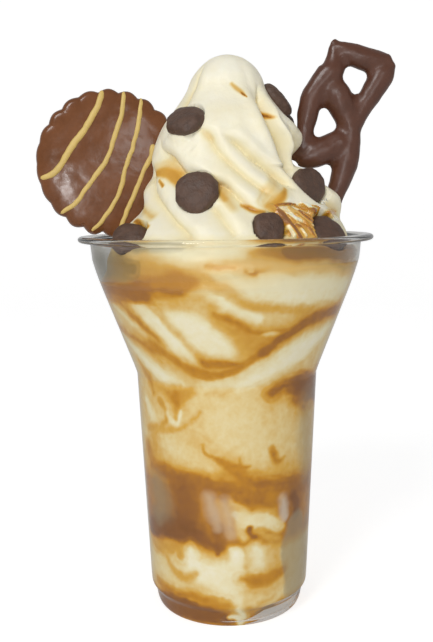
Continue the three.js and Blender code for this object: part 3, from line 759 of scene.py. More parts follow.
# The palest strands are partly pale cream and caramel, partly painted highlight on the glossy
# sauce.
SAUCE_STRANDS = [
    (0.82, 0.5, [(26.5, 135, 0.8), (29, 132.6, 1.5), (31.5, 130, 1.8), (33.5, 127.4, 1.6)]),
    (0.56, 0.4, [(25, 133.6, 0.6), (27, 131, 1.2), (28, 128.4, 1.2)]),
    (0.18, 0.3, [(30.5, 136.4, 0.5), (34, 133.4, 0.9), (35.5, 130.3, 0.8), (37, 127.8, 0.6)]),
    (0.8, 0.4, [(28, 137, 0.5), (33, 137.3, 1), (38, 137, 0.6)]),
    (0.6, 0.5, [(36, 134, 0.6), (39.5, 131.4, 1.2), (41, 128.6, 1)]),
    (0.2, 0.3, [(55.5, 135.4, 0.5), (50.5, 133.3, 0.8), (46.5, 131.8, 0.5)]),
    (0.32, 0.3, [(38, 132.4, 0.4), (42.5, 130.8, 0.8), (48, 130.5, 0.8), (53, 131.2, 0.4)]),
    (0.8, 0.5, [(46, 135.8, 1), (51, 134.7, 1.6), (56, 133.6, 0.8)]),
    (0.15, 0.5, [(29.5, 130.6, 0.6), (31, 128.2, 1.2)]),
    (0.04, 0.5, [(29, 134.6, 0.8), (33, 133.4, 1.2), (37, 132, 0.8)]),
    (0.0, 0.3, [(42, 137.2, 1.2), (45, 136.6, 1.6), (47, 136.2, 1.2)]),
]
FINE_STRANDS = 26
FINE_SEED = 5
FINE_TONES = (0.66, 0.78, 0.56, 0.86, 0.3, 0.72, 0.2)  # caramel of the threads, taken in turn; the palest are partly painted highlight


def fine_strands():
    """Thin threads of sauce that run down to the right over the pools, each a little different."""
    random = np.random.default_rng(FINE_SEED)
    strands = []
    for index in range(FINE_STRANDS):
        azimuth, height = random.uniform(26, 60), random.uniform(129.5, 137.2)
        turn, drop = random.uniform(3, 9), random.uniform(0.6, 4.2)
        bend, width = random.uniform(-1.2, 1.2), random.uniform(0.35, 0.8)
        path = [
            (azimuth, height, width * 0.6),
            (azimuth + turn / 2, height - drop / 2 + bend / 2, width),
            (azimuth + turn, height - drop, width * 0.5),
        ]
        strands.append((FINE_TONES[index % len(FINE_TONES)], 0.3, path))
    return strands


SAUCE_STRANDS += fine_strands()
SWIRL_RIBBONS = [*STAINS, *SAUCE_POOLS, *SAUCE_STRANDS]

# Painted shade and pale painted glare at the front, grey and olive, where the filling looks shaded
# through the wall: how strong, the tone from 0 for clear to 1 for dark, the blur, and the path.
PAINTED_SHADES = [
    (0.68, 0.4, 1.2, [(52, 32, 10), (52, 27, 13), (53, 20, 13), (55, 11, 12)]),
    (0.75, 0.16, 2, [(-14, 45.6, 2), (-10, 41, 3), (-7, 36, 2)]),
    (0.7, 0.16, 2, [(-4, 44, 2.4), (-1, 39, 3.4), (2, 34, 2.4)]),
    (0.65, 0.66, 2.5, [(66, 31, 3), (68, 24, 3), (69, 18, 4), (68, 11, 4)]),
    (0.6, 0.02, 1.5, [(38, 43, 2.6), (39, 37, 2.6)]),
    (0.45, 0.45, 3, [(60, 73, 7), (61, 61, 8), (64, 50, 6)]),
    (0.7, 0.05, 1.5, [(-86, 62, 2), (-82, 50, 3), (-79, 36, 4), (-81, 22, 3), (-88, 12, 2)]),
    (0.8, 0.8, 3, [(-74, 119, 8), (-58, 119, 8), (-48, 118.4, 6), (-41, 118, 3)]),
    (0.6, 1.0, 1.5, [(-80, 125, 4), (-60, 125, 4), (-38, 125, 3), (-20, 125.5, 1)]),
    (0.55, 0.8, 3, [(18, 124.6, 3), (40, 123, 5), (60, 121, 6), (80, 119, 8)]),
    (0.55, 0.97, 1.5, [(30, 126, 2), (50, 125, 4), (80, 124, 6)]),
    (0.7, 0.5, 3, [(-54, 46, 7), (-51, 40, 8), (-56, 36, 5)]),
    (0.75, 0.62, 1.5, [(24, 2, 2), (32, 3, 5), (46, 4, 6), (64, 5, 6)]),
]


def nearest_on(line, places):
    """The nearest point of a line to each place: its index and its distance."""
    apart = np.linalg.norm(places[:, None] - line[None], axis=2)
    index = apart.argmin(1)
    return index, apart[np.arange(len(index)), index]


def ribbon_shares(places, radius_at, blur, path, turn, halo, seed):
    """Where a ribbon lies among the places and how strongly it covers each.

    A halo is the paler caramel that bleeds out of a thick ribbon, by its reach.
    """
    line = smooth_path([(a * 0.5, h, w) for a, h, w in path], 0.5)
    azimuth, height, width = line[:, 0] * 2 + turn, line[:, 1], line[:, 2]
    centres = around_axis(azimuth, radius_at(height), height)
    reach = width.max() / 2 + blur * 1.5 + halo * 2.5
    low, high = centres.min(0) - reach, centres.max(0) + reach
    near = np.flatnonzero(np.all((places > low) & (places < high), axis=1))
    if not len(near):
        return near, None
    index, gap = nearest_on(centres, places[near])
    grain = np.stack([index / 12.0, gap / 0.9, np.full(len(gap), seed * 3.7)], 1)
    depth = gap - np.maximum(width[index], 0.3) / 2
    depth = depth + blur * 0.35 * lattice_noise(grain, 1.0, seed)
    share = smoothstep(blur * 1.3, -blur * 0.8, depth)
    if halo:
        share = np.maximum(share, 0.5 * np.exp(-np.maximum(depth, 0) / halo))
    return near, share


def surface_mean(height):
    """Mean radius of the filling and of the swirl above it."""
    return np.where(height < 118, cup_inside(height), swirl_mean(height))


def drifted(azimuth, height):
    """Places on the mean surface, and the same places shifted so that ribbons wander."""
    flat = around_axis(azimuth, surface_mean(height), height).reshape(-1, 3)
    broad = np.stack([layered_noise(flat, 8.0, seed) for seed in (3, 5, 8)], 1)
    fine = np.stack([layered_noise(flat, 2.4, seed) for seed in (13, 15, 18)], 1)
    calm = 1 - 0.6 * smoothstep(122, 128, flat[:, 2:])
    return flat, flat + calm * (1.1 * broad + 0.5 * fine)


def caramel_at(azimuth, height):
    """How much caramel, painted shade and shade tone shows at places on the surface, from 0 to 1.

    The back has the front's ribbons, turned by half a turn, and no painted shade.
    """
    flat, places = drifted(azimuth, height)
    levels, grounds = np.array(GROUND).T
    sauce = np.interp(places[:, 2], levels, grounds)
    sauce += 0.06 * layered_noise(flat, 9.0, 21)
    for turn in (0.0, 180.0):
        for seed, (caramel, blur, path) in enumerate([*FRONT_RIBBONS, *SWIRL_RIBBONS]):
            halo = 2.0 if caramel > 0.55 and blur >= 1 else 0.0
            near, share = ribbon_shares(places, surface_mean, blur, path, turn, halo, seed)
            if len(near):
                toward = caramel - sauce[near]
                sauce[near] += toward * share
    # Painted shade: grey, olive and pale tones laid over the caramel where the table puts them.
    painted_shade = np.zeros(len(flat))
    tones, weights = np.full(len(flat), 0.0005), np.full(len(flat), 0.001)
    for seed, (strength, dark, blur, path) in enumerate(PAINTED_SHADES):
        near, share = ribbon_shares(places, surface_mean, blur, path, 0.0, 0.0, seed + 90)
        if len(near):
            tones[near] += dark * strength * share
            weights[near] += strength * share
            painted_shade[near] = np.maximum(painted_shade[near], strength * share)
    shape = np.shape(height)
    values = {"sauce": np.clip(sauce, 0, 1), "painted_shade": painted_shade, "tone": tones / weights}
    return {key: value.reshape(shape) for key, value in values.items()}


# ---- the layers in the cup ---------------------------------------------------------------

EMPTY_CORNER = {"azimuth": 46, "width": 34, "depth": 6, "height": 8.5}
LAYER_FLOOR = 0.5  # just into the cup's floor
SEAM = 112.0  # where the ice cream in the cup meets the swirl


def pool_top(azimuth, radius):
    x = radius * np.sin(np.radians(azimuth))
    return np.clip(5.2 - 0.26 * x, 2.6, 10.5)


def band_bottom(azimuth, radius):
    ripple = 0.8 * np.sin(np.radians(azimuth * 3 + 20)) - 7 * bell(azimuth, -90, 32)
    return 28.3 + (radius / WAIST_RADIUS) ** 2 * ripple


def band_top(azimuth, radius):
    ripple = 0.9 * np.sin(np.radians(azimuth * 2 - 35)) + 0.5 * np.cos(np.radians(azimuth * 5))
    return 48.4 + (radius / WAIST_RADIUS) ** 2 * ripple


def level(height):
    return lambda azimuth, radius: np.full(np.shape(azimuth), float(height))


def filling_radius(azimuth, height):
    """Radius of the filling: just into the wall, but drawn in at the empty corner."""
    corner = bell(azimuth, EMPTY_CORNER["azimuth"], EMPTY_CORNER["width"])
    inset = EMPTY_CORNER["depth"] * corner * smoothstep(EMPTY_CORNER["height"], 2, height)
    return cup_outside(height) - SKIN - inset


def make_layer(name, bottom, top, rows):
    """One layer of the filling, closed below and above by the given surfaces."""
    azimuth = np.arange(AROUND) * 360 / AROUND
    near = cup_inside(40.0)
    low = bottom(azimuth, near) - LAYER_LAP
    high = top(azimuth, near)
    rise = np.concatenate([[0, 0.001], np.linspace(0.006, 0.994, rows - 4), [0.999, 1]])
    height = low + (high - low) * rise[:, None]
    wide = np.broadcast_to(azimuth, height.shape)
    reach = filling_radius(wide, height)
    wall = around_axis(wide, reach, height)
    shares = (0.35, 0.7, 0.9, 0.999)

    def cap(surface, edge, level_there, share):
        inner = surface(azimuth, edge * share) + level_there - surface(azimuth, edge)
        return around_axis(azimuth, edge * share, inner)

    under = [cap(bottom, reach[0], low, share) for share in shares]
    over = [cap(top, reach[-1], high, share) for share in shares[::-1]]
    rings = np.concatenate([under, wall, over])
    poles = [(0, 0, under[0][:, 2].mean()), (0, 0, over[-1][:, 2].mean())]
    values = {}
    for key, shown in caramel_at(wide, height).items():
        hidden = np.full(AROUND * len(shares), shown.mean())
        ends = np.full(2, shown.mean())
        values[key] = np.concatenate([hidden, shown.reshape(-1), hidden, ends])
    return ring_piece(name, rings, poles, values)


def make_layers(material):
    layers = [
        ("pool_of_caramel", level(LAYER_FLOOR), pool_top, 22, "caramel", "caramel_pool"),
        ("lower_ice_cream", pool_top, band_bottom, 52, "rippled_ice_cream", "ice_cream_lower"),
        ("band_of_caramel", band_bottom, band_top, 54, "caramel", "caramel_band"),
        ("ice_cream_in_cup", band_top, level(SEAM), 140, "ice_cream", "ice_cream"),
    ]
    for name, bottom, top, rows, slot, stands_for in layers:
        layer = make_layer(name, bottom, top, rows)
        settle(layer, slot, material, stands_for)


# ---- the swirl ---------------------------------------------------------------------------

# Mean radius of the swirl, as (height, radius).
SWIRL = [
    (112, 42.0), (120, 42.4), (126, 39.6), (131, 36.2), (136, 32.2), (141, 29.0),
    (146, 26.4), (152, 24.6), (158, 23.4), (163, 21.6), (167, 18.6), (170.5, 15.4),
    (174, 13.0), (178, 11.4), (181, 9.5), (183.3, 7.1), (184.9, 4.3), (SWIRL_TOP, 0.0),
]
SKIRT = (136, 149)
SKIRT_SHAPES = [(80, 50, 3.4), (-118, 42, -7.6), (172, 46, -4.6)]
# Rounded shapes and hollows, as (azimuth, width, height, tall, reach).
SIDE_SHAPES = [
    (-86, 40, 164, 9, -1.2), (-84, 34, 147.5, 3.4, -2.0), (-84, 40, 135, 5, -2.4),
    (86, 30, 161, 4, 1.8), (84, 28, 151.5, 3.6, -4.6), (84, 36, 140.2, 5.6, 4.5),
    (84, 44, 127, 4.5, -2.0),
]
HOOD_EDGE = {"azimuth": 48, "width": 8, "height": 152, "tall": 17, "reach": -3.0}
WHIPPED = {"azimuth": 74, "width": 22, "height": 157, "tall": 10, "depth": 0.7}

# Creases between the folds: how deep, how far the fold below and the fold above reach, and
# azimuths and heights along each.
FRONT_CREASES = [
    (2.3, 3.0, 1.6, [(-4, 160), (0, 158), (7, 156), (13, 154), (18, 152), (24, 150), (33, 147),
                     (40, 144), (47, 141)]),
    (1.7, 2.6, 1.8, [(-22, 162), (-19, 160), (-13, 158), (-7, 154), (2, 150), (11, 146),
                     (19, 143), (27, 139)]),
    (2.2, 2.4, 2.0, [(-66, 160), (-60, 155), (-42, 151), (-31, 147), (-20, 145), (-10, 143),
                     (-3, 143), (1, 142), (9, 138), (13, 136), (20, 134)]),
    (2.0, 2.6, 2.0, [(-90, 150), (-75, 148), (-62, 145), (-53, 141), (-41, 137), (-29, 133),
                     (-19, 129), (-12, 125)]),
    (1.2, 2.4, 2.0, [(-12, 138), (-5, 135), (0, 131), (5, 127)]),
    (1.0, 2.8, 1.8, [(-58, 183), (-58, 180), (-58, 176), (-56, 172), (-52, 169), (-48, 166)]),
    (4.2, 2.4, 1.3, [(52, 176), (50, 173), (44, 168), (42, 164), (45, 160.3), (50, 156.7),
                     (53, 151.7), (54, 148.4), (51, 145.5)]),
    (1.8, 2.4, 2.0, [(70, 160), (76, 155), (80, 150), (84, 145), (90, 140)]),
    (1.6, 2.4, 2.0, [(60, 140), (68, 137), (78, 134), (88, 131)]),
]
CREASE_DEPTH = 1.4  # all creases, by how much deeper than their own figure
BACK_FOLDS = [92, 128, 164, 203, 246]
FOLD_TWIST = 2.1


def swirl_profile(rows):
    """Smooth mean profile as (height, radius) rows at equal distances."""
    past_the_tip = (184.9, -4.3)
    line = smooth_path([(h, r, 0) for h, r in [*SWIRL, past_the_tip]], 0.5)
    return evenly(line[line[:, 1] > 0.35, :2], rows)


def hill(value, middle, reach):
    return np.exp(-(((value - middle) / reach) ** 2))


def patch(shape, azimuth, height, at):
    """A soft patch of the swirl, 1 in its middle."""
    return bell(azimuth, at, shape["width"]) * hill(height, shape["height"], shape["tall"])


def lopsided(azimuth, height):
    low, high = SKIRT
    skirts = sum(reach * bell(azimuth, at, width) for at, width, reach in SKIRT_SHAPES)
    above = height - HOOD_EDGE["height"] - 2
    edge_at = HOOD_EDGE["azimuth"] - np.where(above > 0, 0.7, 0.9) * above

    hood = HOOD_EDGE["reach"] * patch(HOOD_EDGE, azimuth, height, edge_at)
    sides = 0
    for at, width, middle, tall, reach in SIDE_SHAPES:
        sides = sides + reach * bell(azimuth, at, width) * hill(height, middle, tall)
    return smoothstep(high, low, height) * skirts + sides + hood


def crease_paths():
    """Every crease, those of the back worked out from where they would cross 148 mm."""
    back = []
    for fold in BACK_FOLDS:
        heights = np.array([166, 160, 154, 148, 142, 136, 130, 126])
        back.append((2.0, 2.8, 1.8, [(fold - FOLD_TWIST * (h - 148), h) for h in heights]))
    return FRONT_CREASES + back


def swirl_mean(height):
    heights, radii = np.array(SWIRL).T
    return np.interp(height, heights, radii)


def crease_relief(places):
    """How far the creases draw the surface in at the given places, and how near each is."""
    relief = np.zeros(len(places))
    close = np.zeros(len(places))
    for depth, below, above, path in crease_paths():
        line = smooth_path([(a * 0.4, h, 0) for a, h in path], 0.8)
        azimuth, height = line[:, 0] / 0.4, line[:, 1]
        centres = around_axis(azimuth, swirl_mean(height), height)
        along = np.linspace(0, 1, len(line))
        strength = smoothstep(0, 0.3, along) * smoothstep(1.0, 0.85, along)
        spread = 12
        inside = (places > centres.min(0) - spread) & (places < centres.max(0) + spread)
        near = np.flatnonzero(np.all(inside, axis=1))
        if not len(near):
            continue
        index, gap = nearest_on(centres, places[near])
        offset = places[near] - centres[index]
        way = np.gradient(centres, axis=0)[index]
        outward = around_axis(azimuth, 1.0, 0.0)[index]
        side = np.einsum("ij,ij->i", np.cross(way, offset), outward)
        width = np.where(side > 0, above, below)
        cusp = -0.72 * np.exp(-gap / (0.8 * width)) - 0.28 * np.exp(-((gap / 0.8) ** 2))
        lip = 0.34 * np.exp(-(((gap - 2.0 * width) / (1.2 * width)) ** 2))
        relief[near] += CREASE_DEPTH * depth * strength[index] * (cusp + lip)
        close[near] = np.maximum(close[near], strength[index] * np.exp(-gap / 1.6))
    return relief, close


def drop_matrix(index):
    """Where a drop sits: its face looks along its own Z."""
    place, azimuth, rise, size = DROPS[index]
    move = Matrix.Translation(place)
    turn = Matrix.Rotation(math.radians(azimuth), 4, "Z")
    tilt = Matrix.Rotation(math.radians(90 - rise), 4, "X")
    return np.array(move @ turn @ tilt @ Matrix.Scale(size, 4))


def seat_drops(points):
    """Presses the surface in under each drop, or draws it out to meet one that stands off."""
    for index in range(len(DROPS)):
        matrix = drop_matrix(index)
        local = moved(points, np.linalg.inv(matrix))
        across = np.hypot(local[:, 0], local[:, 1]) / DROP["radius"]
        near = (across < 1.9) & (np.abs(local[:, 2]) < 11)
        ceiling = -1.1 + 12 * smoothstep(0.97, 1.18, across[near])
        bed = -1.6 - 12 * smoothstep(0.8, 1.8, across[near])
        local[near, 2] = np.clip(local[near, 2], bed, ceiling)
        points[near] = moved(local[near], matrix)
    return points


def swirl_points(azimuth, height, mean):
    """Places on the swirl and how close each is to a crease, from 0 to 1."""
    places = around_axis(azimuth, mean, height).reshape(-1, 3)
    creases, close = crease_relief(places)
    waves = 0.34 * layered_noise(places, 9.0, 31) + 0.1 * layered_noise(places, 3.5, 35)
    whipped = WHIPPED["depth"] * layered_noise(places, 5.0, 37).reshape(height.shape)
    relief = (creases + waves).reshape(height.shape)
    relief = relief + whipped * patch(WHIPPED, azimuth, height, WHIPPED["azimuth"])
    shrink = np.clip(mean / 8, 0, 1)
    open_air = smoothstep(118, 128, height)
    lean = smoothstep(SEAM, SEAM + 6, height) * lopsided(azimuth, height)
    points = around_axis(azimuth, mean + shrink * (lean + open_air * relief), height)
    points[..., 0] += SWIRL_LEAN * smoothstep(150, SWIRL_TOP, height)
    points = seat_drops(points.reshape(-1, 3)).reshape(points.shape)
    return inside_cup(points), close.reshape(height.shape)


def inside_cup(rings):
    """Keeps a surface below the rim from coming through the wall."""
    radius = np.hypot(rings[..., 0], rings[..., 1])
    height = rings[..., 2]
    wall = cup_outside(np.minimum(height, 122)) - SKIN
    wall = np.where(height > 119, np.minimum(wall, cup_inside(height) - 0.2), wall)
    limit = np.where(height < CUP_HEIGHT + 0.6, wall, 999)
    scale = np.minimum(1, limit / np.maximum(radius, 0.01))
    rings[..., :2] *= scale[..., None]
    return rings


def make_swirl(material):
    profile = swirl_profile(SWIRL_ROWS)
    profile = np.vstack([profile[:1], profile[:1] + (0.03, 0.0), profile[1:]])
    azimuth = np.arange(AROUND)[None, :] * 360 / AROUND
    height = np.repeat(profile[:, :1], AROUND, 1)
    mean = np.repeat(profile[:, 1:], AROUND, 1)
    wide = np.broadcast_to(azimuth, height.shape)
    rings, close = swirl_points(wide, height, mean)
    poles = [(0, 0, profile[0, 0]), (SWIRL_LEAN, 0, SWIRL_TOP - 0.02)]
    values = caramel_at(wide, height)
    # Painted shade: a little caramel tone in and beside the creases, darker where the folds meet.
    values["sauce"] = values["sauce"] + 0.15 * smoothstep(118, 128, height) * close
    values["soft"] = 0.14 * smoothstep(116, 128, height)
    values = {key: np.append(value.reshape(-1), [0.1, 0.02]) for key, value in values.items()}
    swirl = ring_piece("soft_swirl", rings, poles, values)
    return settle(swirl, "ice_cream", material, "ice_cream")


# ---- thick caramel over the swirl --------------------------------------------------------

SHEET = {"azimuth": (19, 84), "height": (126.4, 143.0)}
SHEET_FILM, SHEET_DEEP, STRAND_RISE = 0.3, 0.8, 0.55
SHEET_HIDDEN = 0.45  # how far the sheet lies inside the ice cream where there is no sauce


def covered(places, ribbons):
    """How far the given ribbons cover each place, from 0 to 1."""
    cover = np.zeros(len(places))
    for seed, (_, blur, path) in enumerate(ribbons):
        near, share = ribbon_shares(places, surface_mean, blur, path, 0.0, 0.0, seed)
        if len(near):
            cover[near] = np.maximum(cover[near], share)
    return cover


def sheet_faces(rows, columns):
    """Faces of a slab with a grid above, the same grid below, and a wall round its edge."""
    below = rows * columns
    grid = np.arange(below).reshape(rows, columns)
    top = np.stack([grid[:-1, :-1], grid[:-1, 1:], grid[1:, 1:], grid[1:, :-1]], -1).reshape(-1, 4)
    faces = [*top.tolist(), *(top[:, ::-1] + below).tolist()]
    edge = [*grid[0, :-1], *grid[:-1, -1], *grid[-1, :0:-1], *grid[:0:-1, 0]]
    for a, b in zip(edge, edge[1:] + edge[:1]):
        faces.append((int(b), int(a), int(a) + below, int(b) + below))
    return faces


def make_sauce_sheet(material):
    """A film of sauce with raised strands; its edge thins out and dips into the ice cream."""
    rows, columns = SHEET_GRID
    azimuth, height = np.meshgrid(
        np.linspace(*SHEET["azimuth"], columns), np.linspace(*SHEET["height"], rows)
    )
    base, _ = swirl_points(azimuth, height, swirl_mean(height))
    outward = np.cross(np.gradient(base, axis=1), np.gradient(base, axis=0))
    outward /= np.linalg.norm(outward, axis=2)[..., None]
    flat, places = drifted(azimuth, height)
    pools = covered(places, SAUCE_POOLS)
    strands = covered(places, SAUCE_STRANDS)
    ridges = 0.12 * layered_noise(flat, 2.6, 141)
    thick = np.maximum(pools, strands) * (SHEET_HIDDEN + SHEET_FILM + ridges) - SHEET_HIDDEN
    thick = (thick + STRAND_RISE * strands).reshape(rows, columns)
    above = base + outward * thick[..., None]
    below = base - outward * SHEET_DEEP
    points = np.vstack([above.reshape(-1, 3), below.reshape(-1, 3)])
    sauce = caramel_at(azimuth, height)["sauce"].reshape(-1)
    piece = mesh_piece("caramel_sauce_sheet", points, sheet_faces(rows, columns),
                       {"sauce": np.tile(sauce, 2)})
    return settle(piece, "caramel", material)


# ---- the biscuit -------------------------------------------------------------------------

SMOOTH_SIDE = {"azimuth": -95, "width": 38}  # where the coat has filled the scallops
STRIPE_RADIUS = 0.8
STRIPE_FLATNESS = 0.62  # how high a stripe is for its width
STRIPE_SINK = 0.1
BLOB_STRIPE = 3  # the stripe that starts in a blob
# Each stripe: how thick, and points along it in shares of the biscuit's radius.
STRIPES = [
    (1.35, [(-0.08, 0.98), (-0.14, 0.77), (-0.31, 0.49), (-0.48, 0.26), (-0.61, 0.07),
            (-0.77, -0.13), (-0.96, -0.2)]),
    (1.02, [(0.21, 0.97), (0.2, 0.8), (0.14, 0.56), (0.02, 0.21), (-0.09, -0.02),
            (-0.31, -0.31), (-0.49, -0.54), (-0.7, -0.69)]),
    (0.96, [(0.44, 0.88), (0.42, 0.66), (0.33, 0.28), (0.21, -0.07), (0.09, -0.45),
            (-0.09, -0.73), (-0.29, -0.94)]),
    (1.0, [(0.59, 0.25), (0.56, 0.09), (0.42, -0.19), (0.31, -0.45), (0.16, -0.77),
           (0.09, -0.98)]),
]


def standing(at):
    """Stands a flat piece up so that its face looks at the front."""
    move = Matrix.Translation((at["x"], at["y"], at["z"]))
    turn = Matrix.Rotation(math.radians(at["turn"]), 4, "Z")
    lean = Matrix.Rotation(math.radians(90 - at["lean"]), 4, "X")
    return np.array(move @ turn @ lean)


def moved(points, matrix):
    return points @ matrix[:3, :3].T + matrix[:3, 3]


def face_height(share):
    """Height of the biscuit's face over its middle plane, at a share of its radius."""
    half = BISCUIT["thick"] / 2
    dome = BISCUIT["dome"]
    shares = [0, 0.3, 0.6, 0.8, 0.9, 0.95, 0.98, 1]
    heights = [half + dome, half + dome * 0.93, half + dome * 0.75, half + dome * 0.52,
               half + dome * 0.3, half + 0.1, half - 0.6, half - 2.0]
    return np.interp(share, shares, heights)


def face_bumps(points):
    return 0.18 * layered_noise(points, 10.0, 41) + 0.03 * layered_noise(points, 3.0, 45)


def make_biscuit(material):
    rows, around = BISCUIT_GRID
    half = BISCUIT["thick"] / 2
    reach = BISCUIT["radius"]
    back = [(0.02, -half), (0.3, -half), (0.6, -half), (0.85, -half), (0.915, -half + 0.1)]
    side = [(0.96, -half + 0.7), (0.99, -half + 1.8), (1.0, 0.2), (0.998, half - 1.9)]
    shares = (0.98, 0.95, 0.9, 0.8, 0.7, 0.6, 0.45, 0.3, 0.15, 0.02)
    front = [(s, float(face_height(s))) for s in shares]
    profile = evenly(smooth_path([(r * reach, h, 0) for r, h in back + side + front], 0.3), rows)
    azimuth = np.arange(around) * 360 / around
    radius = profile[:, :1]
    height = profile[:, 1:2]
    share = radius / reach
    wave = np.abs(np.cos(np.radians(azimuth * BISCUIT["scallops"] / 2)))
    depth = 1 - 0.7 * bell(azimuth, SMOOTH_SIDE["azimuth"], SMOOTH_SIDE["width"])
    depth = depth * (1 + 0.5 * lattice_noise(around_axis(azimuth, 12.0, 0.0), 6.0, 7))
    cut = smoothstep(0.78, 0.99, share) * BISCUIT["scallop"] * depth * (1 - wave)
    rings = around_axis(azimuth[None, :], radius - cut, np.broadcast_to(height, (rows, around)))
    lift = smoothstep(0, 1.5, height) * smoothstep(1.0, 0.9, share)
    rings[..., 2] += lift * face_bumps(rings)
    rings[..., 2] = np.minimum(rings[..., 2], half + BISCUIT["dome"])
    poles = [(0, 0, -half), (0, 0, rings[-1, :, 2].mean())]
    matrix = standing(BISCUIT_AT)
    shape = within("biscuit", moved(rings.reshape(-1, 3), matrix)).reshape(rings.shape)
    piece = ring_piece("biscuit_coat", shape, moved(np.array(poles, float), matrix))
    return settle(piece, "milk_chocolate", material, "biscuit")


def make_drizzle(material):
    """Raised stripes over the biscuit's face, low and rounded."""
    reach = BISCUIT["radius"] - 0.4
    matrix = standing(BISCUIT_AT)
    points, faces = [], []
    steps, around = STRIPE_GRID
    for index, (thick, stripe) in enumerate(STRIPES):
        line = evenly(smooth_path([(x * reach, y * reach, 0) for x, y in stripe], 0.3), steps)
        way = np.gradient(line, axis=0)
        way /= np.linalg.norm(way, axis=1)[:, None]
        across = np.stack([-way[:, 1], way[:, 0], way[:, 2]], 1)
        line = line + across * (0.22 * lattice_noise(line, 2.2, 81 + index))[:, None]
        share = np.hypot(line[:, 0], line[:, 1]) / BISCUIT["radius"]
        face = face_height(share) + face_bumps(line) * smoothstep(1.0, 0.9, share)
        ends = np.sqrt(np.clip(1 - np.abs(np.linspace(-1, 1, steps)) ** 18, 0, 1))
        lumps = thick * (1 + 0.16 * layered_noise(line, 3.0, 51 + index))
        if index == BLOB_STRIPE:
            lumps = lumps * (1 + 0.7 * hill(np.linspace(0, 1, steps), 0.03, 0.09))
        wide = STRIPE_RADIUS * lumps * np.maximum(ends, 0.15)
        line[:, 2] = face - STRIPE_SINK
        rings = tube_rings(line, across, wide, STRIPE_FLATNESS * wide, around)[:, ::-1]
        ceiling = BISCUIT["thick"] / 2 + BISCUIT["dome"] + 0.4
        rings[..., 2] = np.minimum(rings[..., 2], ceiling)
        faces.extend([[i + len(points) for i in face] for face in ring_faces(steps, around)])
        points.extend(capped(rings).tolist())
    piece = mesh_piece("biscuit_drizzle", moved(np.array(points), matrix), faces)
    return settle(piece, "milk_chocolate", material)


# ---- the pretzel -------------------------------------------------------------------------

# Each strand is a list of (right, up, radius) in the pretzel's own plane.
STRANDS = {
    "top_bar": [(-4.9, 25.9, 1.2), (-3.6, 24.4, 2.4), (-0.9, 22.8, 3.2), (4.0, 20.9, 3.7),
                (9.0, 19.6, 3.6), (13.2, 19.2, 2.9)],
    "right_arm": [(13.6, 18.6, 2.7), (12.4, 16.2, 3.7), (10.8, 13.2, 3.8), (8.2, 9.2, 3.6),
                  (5.2, 4.6, 3.3), (1.6, -1.0, 3.7)],
    "left_arm": [(-4.4, 23.8, 2.0), (-4.4, 20.2, 2.9), (-5.2, 16.6, 4.2), (-8.6, 12.6, 4.0),
                 (-11.8, 8.0, 3.7), (-13.3, 2.4, 3.3), (-14.1, -3.0, 2.7), (-14.8, -8.0, 2.7)],
    "middle": [(-6.6, 13.2, 3.6), (-4.4, 10.0, 4.6), (-2.4, 6.6, 4.6), (-0.6, 3.0, 4.2),
               (0.9, -0.6, 4.0)],
    "lower_bar": [(-18.6, -11.2, 1.2), (-17.2, -11.0, 2.2), (-14.5, -11.4, 3.6),
                  (-11.2, -10.6, 4.4), (-7.0, -8.9, 4.4), (-2.5, -6.8, 4.3)],
    "right_leg": [(0.9, -2.0, 3.8), (0.4, -8.6, 4.0), (-0.5, -14.6, 3.9), (-2.2, -19.6, 3.6),
                  (-3.7, -24.2, 3.0), (-4.6, -29.0, 2.3)],
}
ROUNDING = 1.3  # radius of the melted corners where strands meet
PRETZEL_MESH = {"voxel": 0.42, "smooth": 0.5, "rounds": 14}


def strand_tube(points):
    """A closed round tube along one strand with domed ends, as points and faces."""
    steps, around = STRAND_GRID
    line = evenly(smooth_path(points, 0.4), steps)
    centre = np.stack([line[:, 0], line[:, 1], np.zeros(steps)], 1)
    radius = line[:, 2]
    way = np.gradient(centre, axis=0)
    way /= np.linalg.norm(way, axis=1)[:, None]
    slope = np.linspace(0.15, 1.4, 6)
    dome, past = np.sin(slope), np.cos(slope)
    before = [centre[0] - way[0] * radius[0] * 0.75 * p for p in past]
    after = [centre[-1] + way[-1] * radius[-1] * 0.75 * p for p in past[::-1]]
    centre = np.vstack([before, centre, after])
    radius = np.concatenate([radius[0] * dome, radius, radius[-1] * dome[::-1]])
    way = np.vstack([[way[0]] * 6, way, [way[-1]] * 6])
    across = np.cross((0, 0, 1), way)
    rings = tube_rings(centre, across, radius, PRETZEL_DEPTH * radius, around)
    return capped(rings), ring_faces(len(rings), around)


def make_pretzel(material):
    points, faces = [], []
    for strand in STRANDS.values():
        tube, quads = strand_tube([(x, y, radius + ROUNDING) for x, y, radius in strand])
        faces.extend([[i + len(points) for i in face] for face in quads])
        points.extend(tube.tolist())
    piece = mesh_piece("pretzel_coat", points, faces)
    remesh = piece.modifiers.new("merge", "REMESH")
    remesh.mode = "VOXEL"
    remesh.voxel_size = PRETZEL_MESH["voxel"] * MM
    apply_modifier(piece, remesh)
    smooth = piece.modifiers.new("melt", "SMOOTH")
    smooth.factor = PRETZEL_MESH["smooth"]
    smooth.iterations = PRETZEL_MESH["rounds"]
    apply_modifier(piece, smooth)
    mesh = piece.data
    count = len(mesh.vertices)
    places = np.empty(count * 3)
    mesh.vertices.foreach_get("co", places)
    places = places.reshape(-1, 3) / MM
    normals = np.array([v.vector for v in mesh.vertex_normals])
    lumps = 0.34 * layered_noise(places, 7.0, 61) + 0.1 * layered_noise(places, 3.0, 64)
    places += normals * (0.1 - ROUNDING + lumps)[:, None]
    shape = within("pretzel", moved(places, standing(PRETZEL_AT))) * MM
    mesh.vertices.foreach_set("co", shape.reshape(-1))
    mesh.polygons.foreach_set("use_smooth", [True] * len(mesh.polygons))
    mesh.update()
    return settle(piece, "milk_chocolate_gloss", material, "pretzel")


